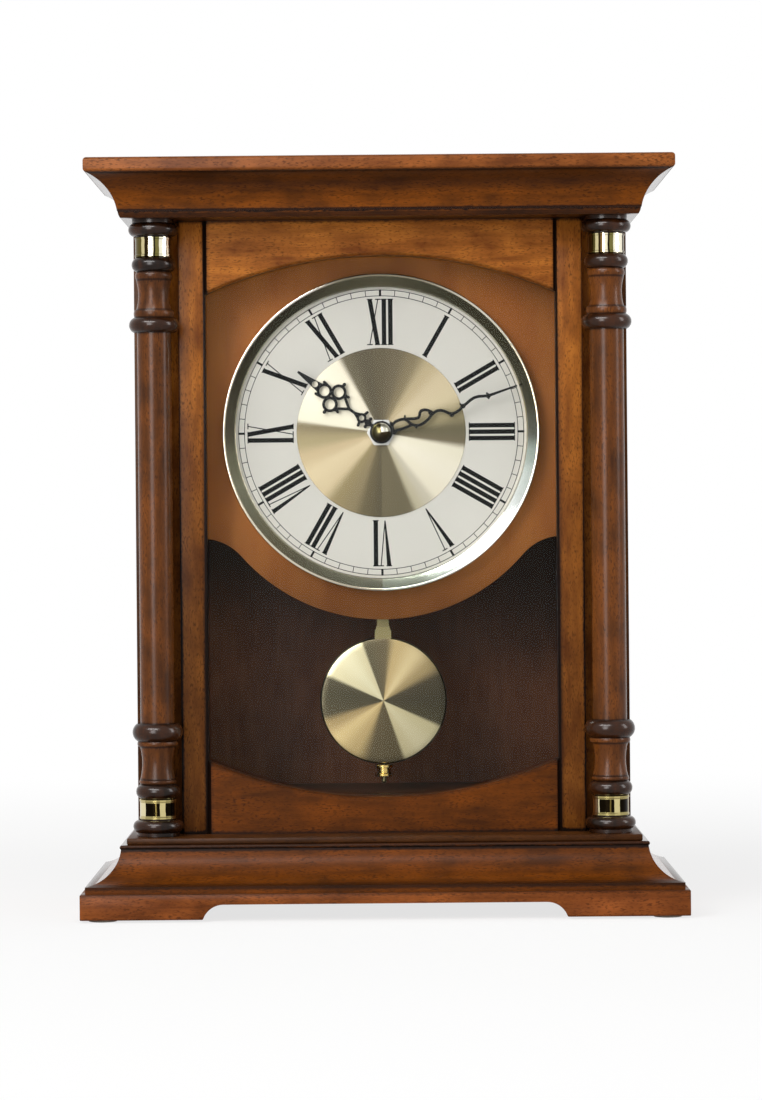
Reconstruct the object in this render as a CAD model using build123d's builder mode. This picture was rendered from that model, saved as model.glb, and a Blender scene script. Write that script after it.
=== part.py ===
from build123d import *
import os
from math import atan2, cos, degrees, radians, sin, sqrt

os.makedirs("parts", exist_ok=True)

# A pendulum clock in a wooden case. Lengths are in millimetres.
# X runs to the viewer's right, the dial faces -Y and Z is up; the origin is on the floor under the middle.

# Case outline
case_width = 253.0
case_depth = 121.0
felt_thickness = 1.0
felt_radius = 6.0
felt_inset = 9.0
plinth_height = 10.6
plinth_thickness = 12.0
bracket_foot_length = 59.5
bracket_rise = 6.2
bracket_corner_radius = 9.0

# Mouldings and boards: heights, and insets from the plinth's outer faces
base_fillet_height = 3.0
base_fillet_inset = 2.1
base_cove_foot_inset = 2.5
base_cove_top_inset = 16.2
base_cove_height = 14.4
base_cove_depth = 3.4
base_lip_height = 1.7
base_lip_swell = 0.5
base_moulding_back_inset = 26.5
base_board_inset = 18.5
base_board_thickness = 2.7
base_core_thickness = 10.0
cornice_fillet_height = 2.8
cornice_foot_inset = 18.0
cornice_fillet_inset = 17.0
cornice_cove_foot_inset = 16.8
cornice_cove_top_inset = 4.7
cornice_cove_height = 15.3
cornice_cove_depth = 2.6
cornice_back_inset = 46.5
top_board_inset = 3.6
top_board_thickness = 6.2
top_board_round = 1.5
rail_width = 12.0

# Case body
body_height = 259.8
side_panel_inset = 21.9
side_panel_thickness = 11.5
post_setback = 5.2
post_depth = 11.8
floor_thickness = 15.6
ceiling_thickness = 10.0
board_gap = 0.2

# Front frame and glass
frame_front_share = 0.31
frame_thickness = 10.0
stile_width = 11.45
stile_side_gap = 7.4
groove_bevel = 0.95
stile_bevel = 0.5
upper_arch_drop = 15.0
upper_arch_rise = 16.1
lower_arch_lift = 15.2
lower_arch_rise = 15.7
glass_side_margin = 4.75
glass_thickness = 2.0
glass_margin = 5.4
clip_thickness = 0.8
clip_half_height = 4.0
clip_grip = 3.0
clip_foot = 5.0
clip_gap = 0.4
clip_spacing = 66.0
screw_pilot_radius = 0.9
screw_clearance = 0.05
screw_head_radius = 2.0
screw_head_height = 1.2
screw_reach = 9.5

# Columns
column_side_inset = 31.1
column_stand_off = 6.4
column_spigot_radius = 5.0
column_spigot_clearance = 0.05
shaft_radius = 7.2
ring_radius = 10.6
ring_swell = 1.9
foot_radius = 9.0
band_radius = 7.9
groove_radius = 7.3
bead_radius = 9.3
bead_swell = 2.0
small_bead_radius = 7.9
small_bead_swell = 0.6
vase_fillet_radius = 8.6
vase_fillet_swell = 0.4
vase_waist_radius = 6.6
vase_end_radius = 7.5
foot_height = 1.6
base_ring_height = 5.2
lower_groove_height = 0.4
band_height = 8.6
bead_height = 6.1
lower_small_bead_height = 2.1
lower_vase_height = 13.8
lower_fillet_height = 2.4
lower_collar_height = 7.3
cap_height = 1.5
cap_ring_height = 5.4
upper_groove_height = 0.4
upper_small_bead_height = 3.4
upper_vase_height = 12.6
upper_fillet_height = 3.3
upper_collar_height = 6.2

# Dial
dial_drop = 79.8
hand_room = 10.0
dial_board_thickness = 6.0
dial_board_gap = 0.1
dial_board_margin = 12.2
dial_board_ear_radius = 22.5
dial_board_ear_inset = 15.5
cleat_width = 9.0
cleat_thickness = 6.0
cleat_foot_drop = 43.4
dial_screw_drop = 27.4
dial_screw_rise = 58.6
dial_plate_inset = 3.2
dial_plate_thickness = 0.8
centre_disc_share = 0.56
centre_disc_thickness = 0.3
bezel_side_gap = 6.25
bezel_width = 5.6
bezel_height = 6.0
bezel_crown_width = 1.2
bezel_edge_round = 0.7
bezel_lip_height = 1.9
bezel_lip_width = 0.5
bezel_seat_clearance = 0.3

# Bush, nut and hands
bush_radius = 4.0
bush_bore = 2.9
bush_reach = 3.6
bush_flange_radius = 6.5
bush_flange_thickness = 0.8
bush_hole_clearance = 0.05
dial_hole_clearance = 0.3
nut_corner_radius = 6.2
nut_thickness = 2.0
running_clearance = 0.05
seat_clearance = 0.02
minute_arbor_radius = 1.75
minute_nose_radius = 1.4
hand_thickness = 0.5
hour_nose_radius = 2.55
hour_hand_gap = 0.6
minute_hand_gap = 0.9
cap_radius = 4.0
cap_height_over_hand = 2.8
cap_skirt = 0.8
cap_bore_depth = 1.2
hour_boss_radius = 4.4
minute_boss_radius = 4.85
hour_angle_clock = 306.5
minute_angle_clock = 71.5

# Hour hand, as places along and across the hand, both drawn for a dial of this radius
hand_dial_radius = 64.8
hand_stroke = 1.2
hour_knot_x = 7.0
hour_knot_radius = 1.5
hour_knot_lobe = (7.0, 2.0)
hour_lobe_radius = 0.75
hour_neck_width = 1.6
hour_drop_x = 10.4
hour_drop_radius = 2.15
hour_drop_hole = 1.1
hour_drop_point_x = 14.0
hour_spur = (9.8, 3.4)
hour_spur_radius = 0.5
hour_fork_x = 17.0
hour_blob = (22.0, 3.4)
hour_blob_radius = 1.2
hour_horn = (20.2, 3.9)
hour_horn_radius = 0.6
hour_side_ring = (24.8, 3.2)
hour_ring_radius = 2.75
hour_side_bud = (24.8, 7.3)
hour_bud_radius = 0.75
hour_front_ring_x = 30.1
hour_front_bud = (32.4, 3.1)
hour_front_bud_radius = 0.55
hour_spear_root = (32.5, 2.05)
hour_spear_hole_x = 35.1
hour_spear_hole = 1.3
hour_tip = (44.2, 0.45)

# Minute hand
minute_stroke = 1.25
minute_vine = ((4.5, 0.5), (6.0, 1.75), (7.5, 2.4), (9.5, 2.45), (11.2, 2.1), (12.2, 1.1), (12.8, -0.1),
               (13.7, -1.3), (15.2, -2.2), (17.0, -2.45), (19.0, -2.05), (21.0, -1.2), (22.6, -0.1),
               (24.2, 0.65), (25.7, 0.9), (27.2, 0.6), (28.6, -0.3), (29.8, -1.55), (31.2, -2.45),
               (33.0, -2.35), (34.8, -1.9), (36.4, -0.9), (38.4, -0.3), (40.4, 0.55), (42.4, 1.05),
               (44.4, 0.95), (46.6, 0.35), (48.4, -0.15))
minute_root = ((5.2, 2.4), (5.2, -2.3), (6.5, -1.3), (9.0, -1.5), (11.5, -1.45), (13.4, -1.2))
minute_scroll = ((11.2, 2.1), (13.4, 1.5), (15.2, 0.9), (17.0, 0.65), (17.8, 1.35), (18.3, 2.45),
                 (19.2, 3.15), (20.6, 3.1), (22.0, 2.4), (22.9, 1.2), (23.1, 0.3))
minute_buds = ((11.9, 3.3), (15.0, -3.2), (35.9, 0.5), (48.2, 1.1), (48.2, -1.2))
minute_bud_stems = ((11.2, 2.1), (14.6, -2.0), (36.4, -0.9), (48.4, -0.15), (48.4, -0.15))
minute_bud_width = 0.8
minute_nodes = ((22.7, 1.2), (31.0, -2.7), (36.8, -0.8), (48.4, -0.15))
minute_node_radius = 1.05
minute_tip_reach = 61.46
minute_tip_half_width = 0.35

# Movement housing
housing_half_width = 56.0
housing_foot_drop = 53.4
housing_top_rise = 39.6
housing_wall = 1.6
front_shell_depth = 15.0
rear_shell_depth = 13.0
plate_thickness = 1.5
plate_foot_rise = 20.0
plate_gap = 0.2
pillar_side_inset = 6.0
pillar_foot_rise = 25.0
pillar_top_drop = 7.0
pillar_radius = 2.6

# Gears: layers are counted back from the front wall's inner face
layer_thickness = 1.0
thin_layer_thickness = 0.8
hour_layer = 1.4
cannon_layer = 3.0
centre_layer = 4.7
third_layer = 6.2
seconds_layer = 7.7
intermediate_layer = 9.2
rotor_layer = 10.6
motion_distance = 10.0
centre_module = 0.28
train_module = 0.22
arbor_radius = 0.6
pivot_radius = 0.4
pivot_length = 0.9
socket_depth = 1.1
arbor_end_gap = 0.2
centre_hub_radius = 2.6
centre_hub_length = 1.6
motion_stud_radius = 0.8
motion_hub_radius = 1.6
hour_pipe_radius = 2.85
rotor_radius = 2.6
rotor_length = 1.4
rotor_gap = 0.5
addendum_share = 0.7
dedendum_share = 1.05
root_share = 0.23
pitch_share = 0.175
tip_share = 0.07
cannon_teeth = 12
motion_teeth = 36
motion_pinion_teeth = 10
hour_teeth = 40
centre_teeth = 60
third_pinion_teeth = 8
third_teeth = 64
seconds_pinion_teeth = 8
seconds_teeth = 60
intermediate_pinion_teeth = 10
intermediate_teeth = 50
rotor_pinion_teeth = 10
motion_bearing = -30.0
third_bearing = 160.0
seconds_bearing = 200.0
intermediate_bearing = 240.0
rotor_bearing = 270.0

# Motor, circuit board, speaker and controls
stator_half_width = 9.0
stator_half_height = 4.0
stator_leg_width = 3.0
stator_leg_drop = 9.0
stator_core_height = 2.0
stator_post_radius = 1.2
motor_coil_radius = 1.9
board_left_inset = 10.0
board_width = 54.0
board_height = 26.0
board_top_drop = 3.0
board_thickness = 1.2
chip_inset = 26.0
chip_rise = 5.5
chip_size = 8.0
chip_thickness = 1.5
switch_body_height = 3.3
switch_gap = 0.1
slider_inset = 12.0
selector_drop = 6.0
silence_drop = 16.0
slider_half_width = 1.8
slider_half_height = 1.6
slider_travel = 6.0
slider_clearance = 0.1
slider_stand_out = 1.6
volume_inset = 33.0
volume_drop = 10.0
volume_knob_radius = 4.5
volume_knob_thickness = 3.0
volume_shaft_radius = 1.5
volume_notch = 0.6
control_gap = 0.4
test_inset = 47.0
test_radius = 2.0
test_flange_radius = 3.0
test_flange_thickness = 1.0
test_travel = 1.5
test_stand_out = 2.0
speaker_side_inset = 24.0
speaker_drop = 33.0
speaker_radius = 19.0
speaker_depth = 9.2
speaker_magnet_radius = 9.0
sound_hole_radius = 1.5
sound_ring_radius = 10.0
sound_hole_count = 8
knob_radius = 7.0
knob_thickness = 4.5
knob_gap = 0.8
knob_hub_length = 0.6
knob_flute_radius = 0.7
knob_flutes = 20

# Batteries
battery_radius = 7.25
battery_length = 49.0
battery_nub_radius = 2.75
battery_nub_length = 1.5
battery_rise = 10.0
battery_from_plate_front = 3.6
battery_middle_gap = 3.0
contact_thickness = 0.6
contact_half_height = 5.0
contact_bump_radius = 3.0
rib_width = 2.0
rib_height = 5.4
rib_near = 14.0
rib_far = 40.0
rib_clearance = 0.3
bay_opening_half_width = 49.0
bay_opening_half_height = 7.0
cover_margin = 2.0
cover_thickness = 1.4
cover_lip = 1.2
cover_clearance = 0.1

# Pendulum
pivot_drop = 30.0
pivot_radius = 0.8
pivot_boss_radius = 2.2
pivot_boss_length = 1.0
pivot_end_gap = 0.1
barrel_radius = 2.4
barrel_length = 3.7
pivot_stand_out = 0.7
strip_half_width = 2.535
strip_thickness = 0.8
hanger_foot_drop = 17.4
hanger_top_rise = 11.6
hanger_setback = 1.1
hook_drop = 14.4
hook_radius = 0.9
hook_length = 1.6
strip_top_drop = 10.4
magnet_rise = 9.0
magnet_radius = 2.5
magnet_thickness = 2.4
drive_coil_radius = 5.0
drive_coil_depth = 4.0
drive_coil_gap = 1.2
drive_core_radius = 1.6
slot_half_width = 8.0
slot_margin = 1.0
bob_share = 0.22
bob_floor_gap = 11.4
bob_face_inset = 0.8
bob_back_inset = 2.2
bob_dome = 0.5
bob_front_bevel = 0.8
bob_rim = 2.2
bob_back_bevel = 1.3
bob_slot_clearance = 0.05
clip_block_half_width = 3.55
clip_block_upper_half_width = 3.0
clip_block_half_depth = 1.8
clip_block_sink = 3.2
clip_block_height = 6.4
clip_block_upper_height = 1.6
strip_foot_rise = 5.6
tail_top_rise = 9.6
tail_radius = 1.0
tail_ball_radius = 1.1
tail_ball_drop = 7.2
rating_nut_drop = 5.3
rating_nut_height = 5.2
rating_flange_height = 1.5
rating_flange_radius = 4.0
rating_neck_radius = 3.0

# Rear door
door_thickness = 4.0
door_rear_inset = 1.0
door_side_gap = 0.5
door_end_lap = 6.0
hinge_setback = 1.4
hinge_rear_inset = 1.5
knuckle_radius = 1.2
hinge_pin_radius = 0.7
knuckle_length = 9.6
knuckle_pitch = 10.0
hinge_notch_clearance = 0.2
hinge_rise = 41.0
hinge_drop = 43.2
leaf_thickness = 0.8
leaf_reach = 10.0
door_slot_half_width = 14.0
door_slot_half_height = 1.5
door_slot_x = 19.0
door_slot_spacing = 9.0
door_slot_count = 5
door_slots_rise = 1.6
finger_notch_radius = 9.0
catch_half_height = 8.0
catch_width = 5.0
catch_depth = 6.0
strike_thickness = 0.8

# Places worked out from the sizes above
half_width = case_width / 2
front = -case_depth / 2
bracket_half_width = half_width - bracket_foot_length
back = case_depth / 2
plinth_foot = felt_thickness
moulding_foot = plinth_foot + plinth_height
base_cove_foot = moulding_foot + base_fillet_height
base_cove_top = base_cove_foot + base_cove_height
base_board_foot = base_cove_top + base_lip_height
body_foot = base_board_foot + base_board_thickness
body_top = body_foot + body_height
cornice_cove_foot = body_top + cornice_fillet_height
cornice_top = cornice_cove_foot + cornice_cove_height
case_top = cornice_top + top_board_thickness
side_outer = half_width - side_panel_inset
side_inner = side_outer - side_panel_thickness
floor_top = body_foot + floor_thickness
ceiling_foot = body_top - ceiling_thickness
frame_front = front + case_depth * frame_front_share
post_front = frame_front + post_setback
post_back = post_front + post_depth
column_x = half_width - column_side_inset
column_y = frame_front - column_stand_off
stile_outer = side_inner - stile_side_gap
stile_inner = stile_outer - stile_width
glass_half_width = stile_inner + glass_side_margin
frame_back = frame_front + frame_thickness
glass_back = frame_back + glass_thickness
dial_front = glass_back + hand_room
dial_height = ceiling_foot - dial_drop
bezel_outer_radius = stile_inner - bezel_side_gap
bezel_inner_radius = bezel_outer_radius - bezel_width
dial_plate_radius = bezel_outer_radius - dial_plate_inset
centre_disc_radius = dial_plate_radius * centre_disc_share
hand_share = dial_plate_radius / hand_dial_radius
dial_back = dial_front + dial_board_thickness
plate_front = dial_front - dial_plate_thickness
disc_front = plate_front - centre_disc_thickness
bush_end = disc_front - bush_reach + nut_thickness / 2
hour_hand_back = bush_end - hour_hand_gap
hour_hand_front = hour_hand_back - hand_thickness
minute_hand_back = hour_hand_front - minute_hand_gap
minute_hand_front = minute_hand_back - hand_thickness
wall_inner = dial_back + housing_wall
shell_joint = dial_back + front_shell_depth
plate_back = shell_joint + plate_thickness
rear_inner = shell_joint + rear_shell_depth - housing_wall
rear_face = shell_joint + rear_shell_depth
board_back = plate_back + board_thickness
door_back = back - door_rear_inset
door_front = door_back - door_thickness
boards_back = door_front - board_gap
housing_foot_height = dial_height - housing_foot_drop
housing_top_height = dial_height + housing_top_rise
battery_height = housing_foot_height + battery_rise
board_left = board_left_inset - housing_half_width
board_top = housing_top_height - board_top_drop
board_foot = board_top - board_height
chip_place = (board_left + chip_inset, board_foot + chip_rise)
selector_place = (board_left + slider_inset, board_top - selector_drop)
silence_place = (board_left + slider_inset, board_top - silence_drop)
volume_place = (board_left + volume_inset, board_top - volume_drop)
test_place = (board_left + test_inset, board_top - volume_drop)
speaker_place = (housing_half_width - speaker_side_inset, housing_top_height - speaker_drop)
pivot_height = dial_height - pivot_drop
hook_height = pivot_height - hook_drop
magnet_height = pivot_height + magnet_rise
bob_radius = (pivot_height - floor_top) * bob_share
bob_height = floor_top + bob_floor_gap + bob_radius
bob_foot = bob_height - bob_radius
hinge_low = floor_top + hinge_rise
hinge_high = ceiling_foot - hinge_drop
sides = (-1, 1)


def save(shape, name):
    """Name a piece and write its file."""
    shape.label = name
    export_step(shape, f"parts/{name}.step")


def slab(x_span, y_span, z_span, mode=Mode.ADD):
    """A straight block between the given ends."""
    spans = [sorted(span) for span in (x_span, y_span, z_span)]
    with Locations(tuple((low + high) / 2 for low, high in spans)):
        Box(*[high - low for low, high in spans], mode=mode)


def rod(turn, place, radius, span, mode=Mode.ADD):
    """A round rod along X, Y or Z through a place in the plane across it."""
    low, high = sorted(span)
    middle = (low + high) / 2
    centres = {"x": (middle, *place), "y": (place[0], middle, place[1]), "z": (*place, middle)}
    turns = {"x": (0, 90, 0), "y": (90, 0, 0), "z": (0, 0, 0)}
    with Locations(Location(centres[turn], turns[turn])):
        Cylinder(radius, high - low, mode=mode)


def spin(plane, steps, mode=Mode.ADD):
    """A turned piece about the plane's own y; a step has three radii and two heights."""
    with BuildSketch(plane) as section:
        with BuildLine():
            foot = (0, steps[0][3])
            here = foot
            for low, middle, high, start, stop in steps:
                if here != (low, start):
                    Line(here, (low, start))
                if low == middle == high:
                    Line((low, start), (high, stop))
                else:
                    ThreePointArc((low, start), (middle, (start + stop) / 2), (high, stop))
                here = (high, stop)
            Line(here, (0, here[1]))
            Line((0, here[1]), foot)
        make_face()
    revolve(section.sketch, axis=Axis(plane.origin, plane.y_dir), mode=mode)


def straight(radius, start, stop):
    """A plain step of a turned piece."""
    return (radius, radius, radius, start, stop)


def hollow(start, stop, depth):
    """The middle point of a hollow between two points of a moulding."""
    run, rise = stop[0] - start[0], stop[1] - start[1]
    reach = sqrt(run ** 2 + rise ** 2)
    return ((start[0] + stop[0]) / 2 + depth * rise / reach, (start[1] + stop[1]) / 2 - depth * run / reach)


def moulding(plane, place, corners, cove, swell):
    """Section of a moulding from its inset and height at each corner, with one cove and one rounded lip."""
    with BuildSketch(plane) as section:
        with BuildLine():
            for count, corner in enumerate(corners):
                following = corners[(count + 1) % len(corners)]
                if count == cove[0]:
                    ThreePointArc(place(corner), place(hollow(corner, following, cove[1])),
                                  place(following))
                elif swell and count == swell[0]:
                    ThreePointArc(place(corner), place(hollow(corner, following, -swell[1])),
                                  place(following))
                else:
                    Line(place(corner), place(following))
        make_face()
    return section.sketch


def front_place(point):
    """A moulding's corner on the section plane of the front piece."""
    return (front + point[0], point[1])


def left_place(point):
    """The same for the piece on the left."""
    return (point[0] - half_width, point[1])


def front_plan(width):
    """The mitred plan of a front moulding."""
    with BuildSketch() as plan:
        Polygon((-half_width, front), (half_width, front), (half_width - width, front + width),
                (width - half_width, front + width), align=None)
    return plan.sketch


def left_plan(width):
    """The mitred plan of the left moulding."""
    with BuildSketch() as plan:
        Polygon((-half_width, front), (-half_width, back), (width - half_width, back),
                (width - half_width, front + width), align=None)
    return plan.sketch


def mitred_set(front_piece, left_piece):
    """The three lengths of a mitred moulding, side by side as separate solids."""
    return Compound(children=[*front_piece.solids(), *left_piece.solids(),
                              *left_piece.mirror(Plane.YZ).solids()])


def bar(start, stop, width):
    """A round-ended stroke between two points of a sketch."""
    run, rise = stop[0] - start[0], stop[1] - start[1]
    middle = ((start[0] + stop[0]) / 2, (start[1] + stop[1]) / 2, 0)
    with Locations(Location(middle, (0, 0, degrees(atan2(rise, run))))):
        SlotCenterToCenter(sqrt(run ** 2 + rise ** 2), width)


def spot(place, radius, mode=Mode.ADD):
    """A round spot in a sketch."""
    with Locations(place):
        Circle(radius, mode=mode)


def column_plane(side):
    """The plane of a column's section, with its y along the column."""
    return Plane(origin=(side * column_x, column_y, 0), x_dir=(1, 0, 0), z_dir=(0, -1, 0))


def clock_plane(depth, bearing):
    """A plane across the dial whose x lies along a bearing, as seen from the front."""
    turn = radians(bearing)
    return Plane(origin=(0, depth, dial_height), x_dir=(cos(turn), 0, sin(turn)), z_dir=(0, -1, 0))


def polar(centre, distance, bearing):
    """The place at a distance from another, at a bearing seen from the front."""
    return (centre[0] + distance * cos(radians(bearing)), centre[1] + distance * sin(radians(bearing)))


def gear(centre, teeth, module, bearing, start, thickness):
    """A gear about Y at a place; one tooth points along the bearing."""
    points = []
    for tooth in range(teeth):
        middle = bearing + 360 * tooth / teeth
        for way in (-1, 1):
            ends = ((teeth / 2 - dedendum_share, root_share), (teeth / 2, pitch_share),
                    (teeth / 2 + addendum_share, tip_share))
            for radii, share in ends[::-way]:
                turn = radians(middle + way * share * 360 / teeth)
                points.append((centre[0] + module * radii * cos(turn),
                               centre[1] + module * radii * sin(turn)))
    with BuildSketch(Plane.XZ.offset(-start - thickness)) as outline:
        Polygon(*points, align=None)
    extrude(outline.sketch, amount=thickness)


# Base
with BuildPart() as felt_pads:
    for x in (felt_inset - half_width, half_width - felt_inset):
        for y in (front + felt_inset, back - felt_inset):
            rod("z", (x, y), felt_radius, (0, plinth_foot))
save(felt_pads.part, "felt_pads")

with BuildPart() as plinth_front:
    slab((-half_width, half_width), (front, front + plinth_thickness), (plinth_foot, moulding_foot))
    slab((-bracket_half_width, bracket_half_width), (front, front + plinth_thickness),
         (plinth_foot, plinth_foot + bracket_rise), mode=Mode.SUBTRACT)
    for x in (-bracket_half_width, bracket_half_width):
        rod("y", (x, plinth_foot + bracket_rise - bracket_corner_radius), bracket_corner_radius,
            (front, front + plinth_thickness), mode=Mode.SUBTRACT)
save(plinth_front.part, "plinth_front")

with BuildPart() as plinth_sides:
    for side in sides:
        slab((side * (half_width - plinth_thickness), side * half_width), (front + plinth_thickness, back),
             (plinth_foot, moulding_foot))
save(plinth_sides.part, "plinth_sides")

base_corners = ((base_moulding_back_inset, moulding_foot), (base_fillet_inset, moulding_foot),
                (base_fillet_inset, base_cove_foot), (base_cove_foot_inset, base_cove_foot),
                (base_cove_top_inset, base_cove_top), (base_cove_top_inset, base_board_foot),
                (base_moulding_back_inset, base_board_foot))
base_cove = (3, base_cove_depth)
base_lip = (4, base_lip_swell)
with BuildPart() as base_moulding_front:
    extrude(moulding(Plane.YZ, front_place, base_corners, base_cove, base_lip), amount=half_width,
            both=True)
    extrude(front_plan(base_moulding_back_inset), amount=case_top, mode=Mode.INTERSECT)
with BuildPart() as base_moulding_left:
    extrude(moulding(Plane.XZ, left_place, base_corners, base_cove, base_lip), amount=back, both=True)
    extrude(left_plan(base_moulding_back_inset), amount=case_top, mode=Mode.INTERSECT)
save(mitred_set(base_moulding_front.part, base_moulding_left.part), "base_moulding")

core_half_width = half_width - base_moulding_back_inset
with BuildPart() as base_board:
    slab((base_board_inset - half_width, half_width - base_board_inset), (front + base_board_inset, back),
         (base_board_foot, body_foot))
    slab((-core_half_width, core_half_width), (front + base_moulding_back_inset, back),
         (base_board_foot - base_core_thickness, base_board_foot))
save(base_board.part, "base_board")

with BuildPart() as back_rails:
    slab((plinth_thickness - half_width, half_width - plinth_thickness), (back - rail_width, back),
         (plinth_foot, moulding_foot))
    slab((-core_half_width, core_half_width), (back - rail_width, back),
         (moulding_foot + board_gap, base_board_foot - base_core_thickness))
    slab((cornice_back_inset - half_width, half_width - cornice_back_inset), (back - rail_width, back),
         (body_top, cornice_top))
save(back_rails.part, "back_rails")

# Cornice and top
cornice_corners = ((cornice_back_inset, body_top), (cornice_foot_inset, body_top),
                   (cornice_fillet_inset, cornice_cove_foot), (cornice_cove_foot_inset, cornice_cove_foot),
                   (cornice_cove_top_inset, cornice_top), (cornice_back_inset, cornice_top))
cornice_cove = (3, cornice_cove_depth)
with BuildPart() as cornice_front:
    extrude(moulding(Plane.YZ, front_place, cornice_corners, cornice_cove, None), amount=half_width,
            both=True)
    extrude(front_plan(cornice_back_inset), amount=case_top, mode=Mode.INTERSECT)
with BuildPart() as cornice_left:
    extrude(moulding(Plane.XZ, left_place, cornice_corners, cornice_cove, None), amount=back, both=True)
    extrude(left_plan(cornice_back_inset), amount=case_top, mode=Mode.INTERSECT)
save(mitred_set(cornice_front.part, cornice_left.part), "cornice")

with BuildPart() as top_board:
    slab((top_board_inset - half_width, half_width - top_board_inset), (front + top_board_inset, back),
         (cornice_top, case_top))
    fillet(top_board.edges().filter_by(Axis.X).group_by(Axis.Y)[0] + top_board.edges().filter_by(Axis.Y),
           radius=top_board_round)
save(top_board.part, "top_board")

# Case body
hinge_x = side_inner - hinge_setback
hinge_y = back - hinge_rear_inset
hinge_half = knuckle_pitch + knuckle_pitch / 2
with BuildPart() as side_panels:
    for side in sides:
        slab((side * side_inner, side * side_outer), (post_front, back), (body_foot, body_top))
    for z in (hinge_low, hinge_high):
        slab((side_inner, side_inner + leaf_thickness), (hinge_y - leaf_reach, hinge_y + knuckle_radius),
             (z - hinge_half, z + hinge_half), mode=Mode.SUBTRACT)
save(side_panels.part, "side_panels")

screw_radius = screw_pilot_radius - screw_clearance
screw_x = side_inner - cleat_width / 2
dial_screws = [(side * screw_x, z) for side in sides
               for z in (dial_height - dial_screw_drop, dial_height + dial_screw_rise)]
with BuildPart() as case_boards:
    for foot, top in ((body_foot, floor_top), (ceiling_foot, body_top)):
        slab((-side_inner, side_inner), (post_back, boards_back), (foot, top))
        slab((-stile_outer, stile_outer), (glass_back + board_gap, post_back), (foot, top))
    for side in sides:
        slab((side * (side_inner - cleat_width), side * side_inner), (dial_back,
                                                                      dial_back + cleat_thickness),
             (dial_height - cleat_foot_drop, ceiling_foot - board_gap))
    for place in dial_screws:
        rod("y", place, screw_pilot_radius, (dial_back, dial_back + cleat_thickness), mode=Mode.SUBTRACT)
save(case_boards.part, "case_boards")

# Front frame
clip_screw_x = stile_outer - clip_foot / 2
clip_heights = [(body_foot + body_top) / 2 + step * clip_spacing for step in (-1, 0, 1)]
clip_screws = [(side * clip_screw_x, z) for side in sides for z in clip_heights]
with BuildPart() as front_stiles:
    for side in sides:
        with BuildSketch(Plane.XY.offset(body_foot)) as stile_plan:
            Polygon((side * (stile_inner + groove_bevel), frame_front),
                    (side * (stile_outer - stile_bevel), frame_front),
                    (side * stile_outer, frame_front + stile_bevel), (side * stile_outer, post_front),
                    (side * side_inner, post_front), (side * side_inner, post_back), (side * stile_outer,
                                                                                      post_back),
                    (side * stile_outer, frame_back), (side * stile_inner, frame_back),
                    (side * stile_inner, frame_front + groove_bevel), align=None)
        extrude(stile_plan.sketch, amount=body_height)
    for place in clip_screws:
        rod("y", place, screw_pilot_radius, (frame_back + clip_thickness - screw_reach, frame_back),
            mode=Mode.SUBTRACT)
save(front_stiles.part, "front_stiles")

arch_crown = body_top - upper_arch_drop
with BuildPart() as upper_arch_rail:
    with BuildSketch(Plane.XZ.offset(-frame_back)) as upper_outline:
        with BuildLine():
            ThreePointArc((-stile_inner, arch_crown - upper_arch_rise), (0, arch_crown),
                          (stile_inner, arch_crown - upper_arch_rise))
            Polyline((stile_inner, arch_crown - upper_arch_rise), (stile_inner, body_top), (-stile_inner,
                                                                                            body_top),
                     (-stile_inner, arch_crown - upper_arch_rise))
        make_face()
    extrude(amount=frame_thickness)
    chamfer(upper_arch_rail.edges().filter_by(Axis.Z).group_by(Axis.Y)[0]
            + upper_arch_rail.edges().filter_by(GeomType.CIRCLE).group_by(Axis.Y)[0], length=groove_bevel)
save(upper_arch_rail.part, "upper_arch_rail")

arch_foot = body_foot + lower_arch_lift
with BuildPart() as lower_arch_rail:
    with BuildSketch(Plane.XZ.offset(-frame_back)) as lower_outline:
        with BuildLine():
            ThreePointArc((-stile_inner, arch_foot + lower_arch_rise), (0, arch_foot),
                          (stile_inner, arch_foot + lower_arch_rise))
            Polyline((stile_inner, arch_foot + lower_arch_rise), (stile_inner, body_foot), (-stile_inner,
                                                                                            body_foot),
                     (-stile_inner, arch_foot + lower_arch_rise))
        make_face()
    extrude(amount=frame_thickness)
    chamfer(lower_arch_rail.edges().filter_by(Axis.Z).group_by(Axis.Y)[0]
            + lower_arch_rail.edges().filter_by(GeomType.CIRCLE).group_by(Axis.Y)[0], length=groove_bevel)
save(lower_arch_rail.part, "lower_arch_rail")

with BuildPart() as glass_pane:
    slab((-glass_half_width, glass_half_width), (frame_back, glass_back),
         (arch_foot - glass_margin, arch_crown + glass_margin))
save(glass_pane.part, "glass_pane")

with BuildPart() as glass_clips:
    edge = glass_half_width + clip_gap
    heel = stile_outer - clip_gap
    for side in sides:
        plan = [(edge, frame_back), (heel, frame_back), (heel, frame_back + clip_thickness),
                (edge + clip_thickness, frame_back + clip_thickness),
                (edge + clip_thickness, glass_back + clip_thickness),
                (glass_half_width - clip_grip, glass_back + clip_thickness),
                (glass_half_width - clip_grip, glass_back), (edge, glass_back)]
        for z in clip_heights:
            with BuildSketch(Plane.XY.offset(z - clip_half_height)) as clip_outline:
                Polygon(*[(side * x, y) for x, y in plan], align=None)
            extrude(clip_outline.sketch, amount=clip_half_height * 2)
            rod("y", (side * clip_screw_x, z), screw_pilot_radius, (frame_back, glass_back),
                mode=Mode.SUBTRACT)
save(glass_clips.part, "glass_clips")

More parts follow.
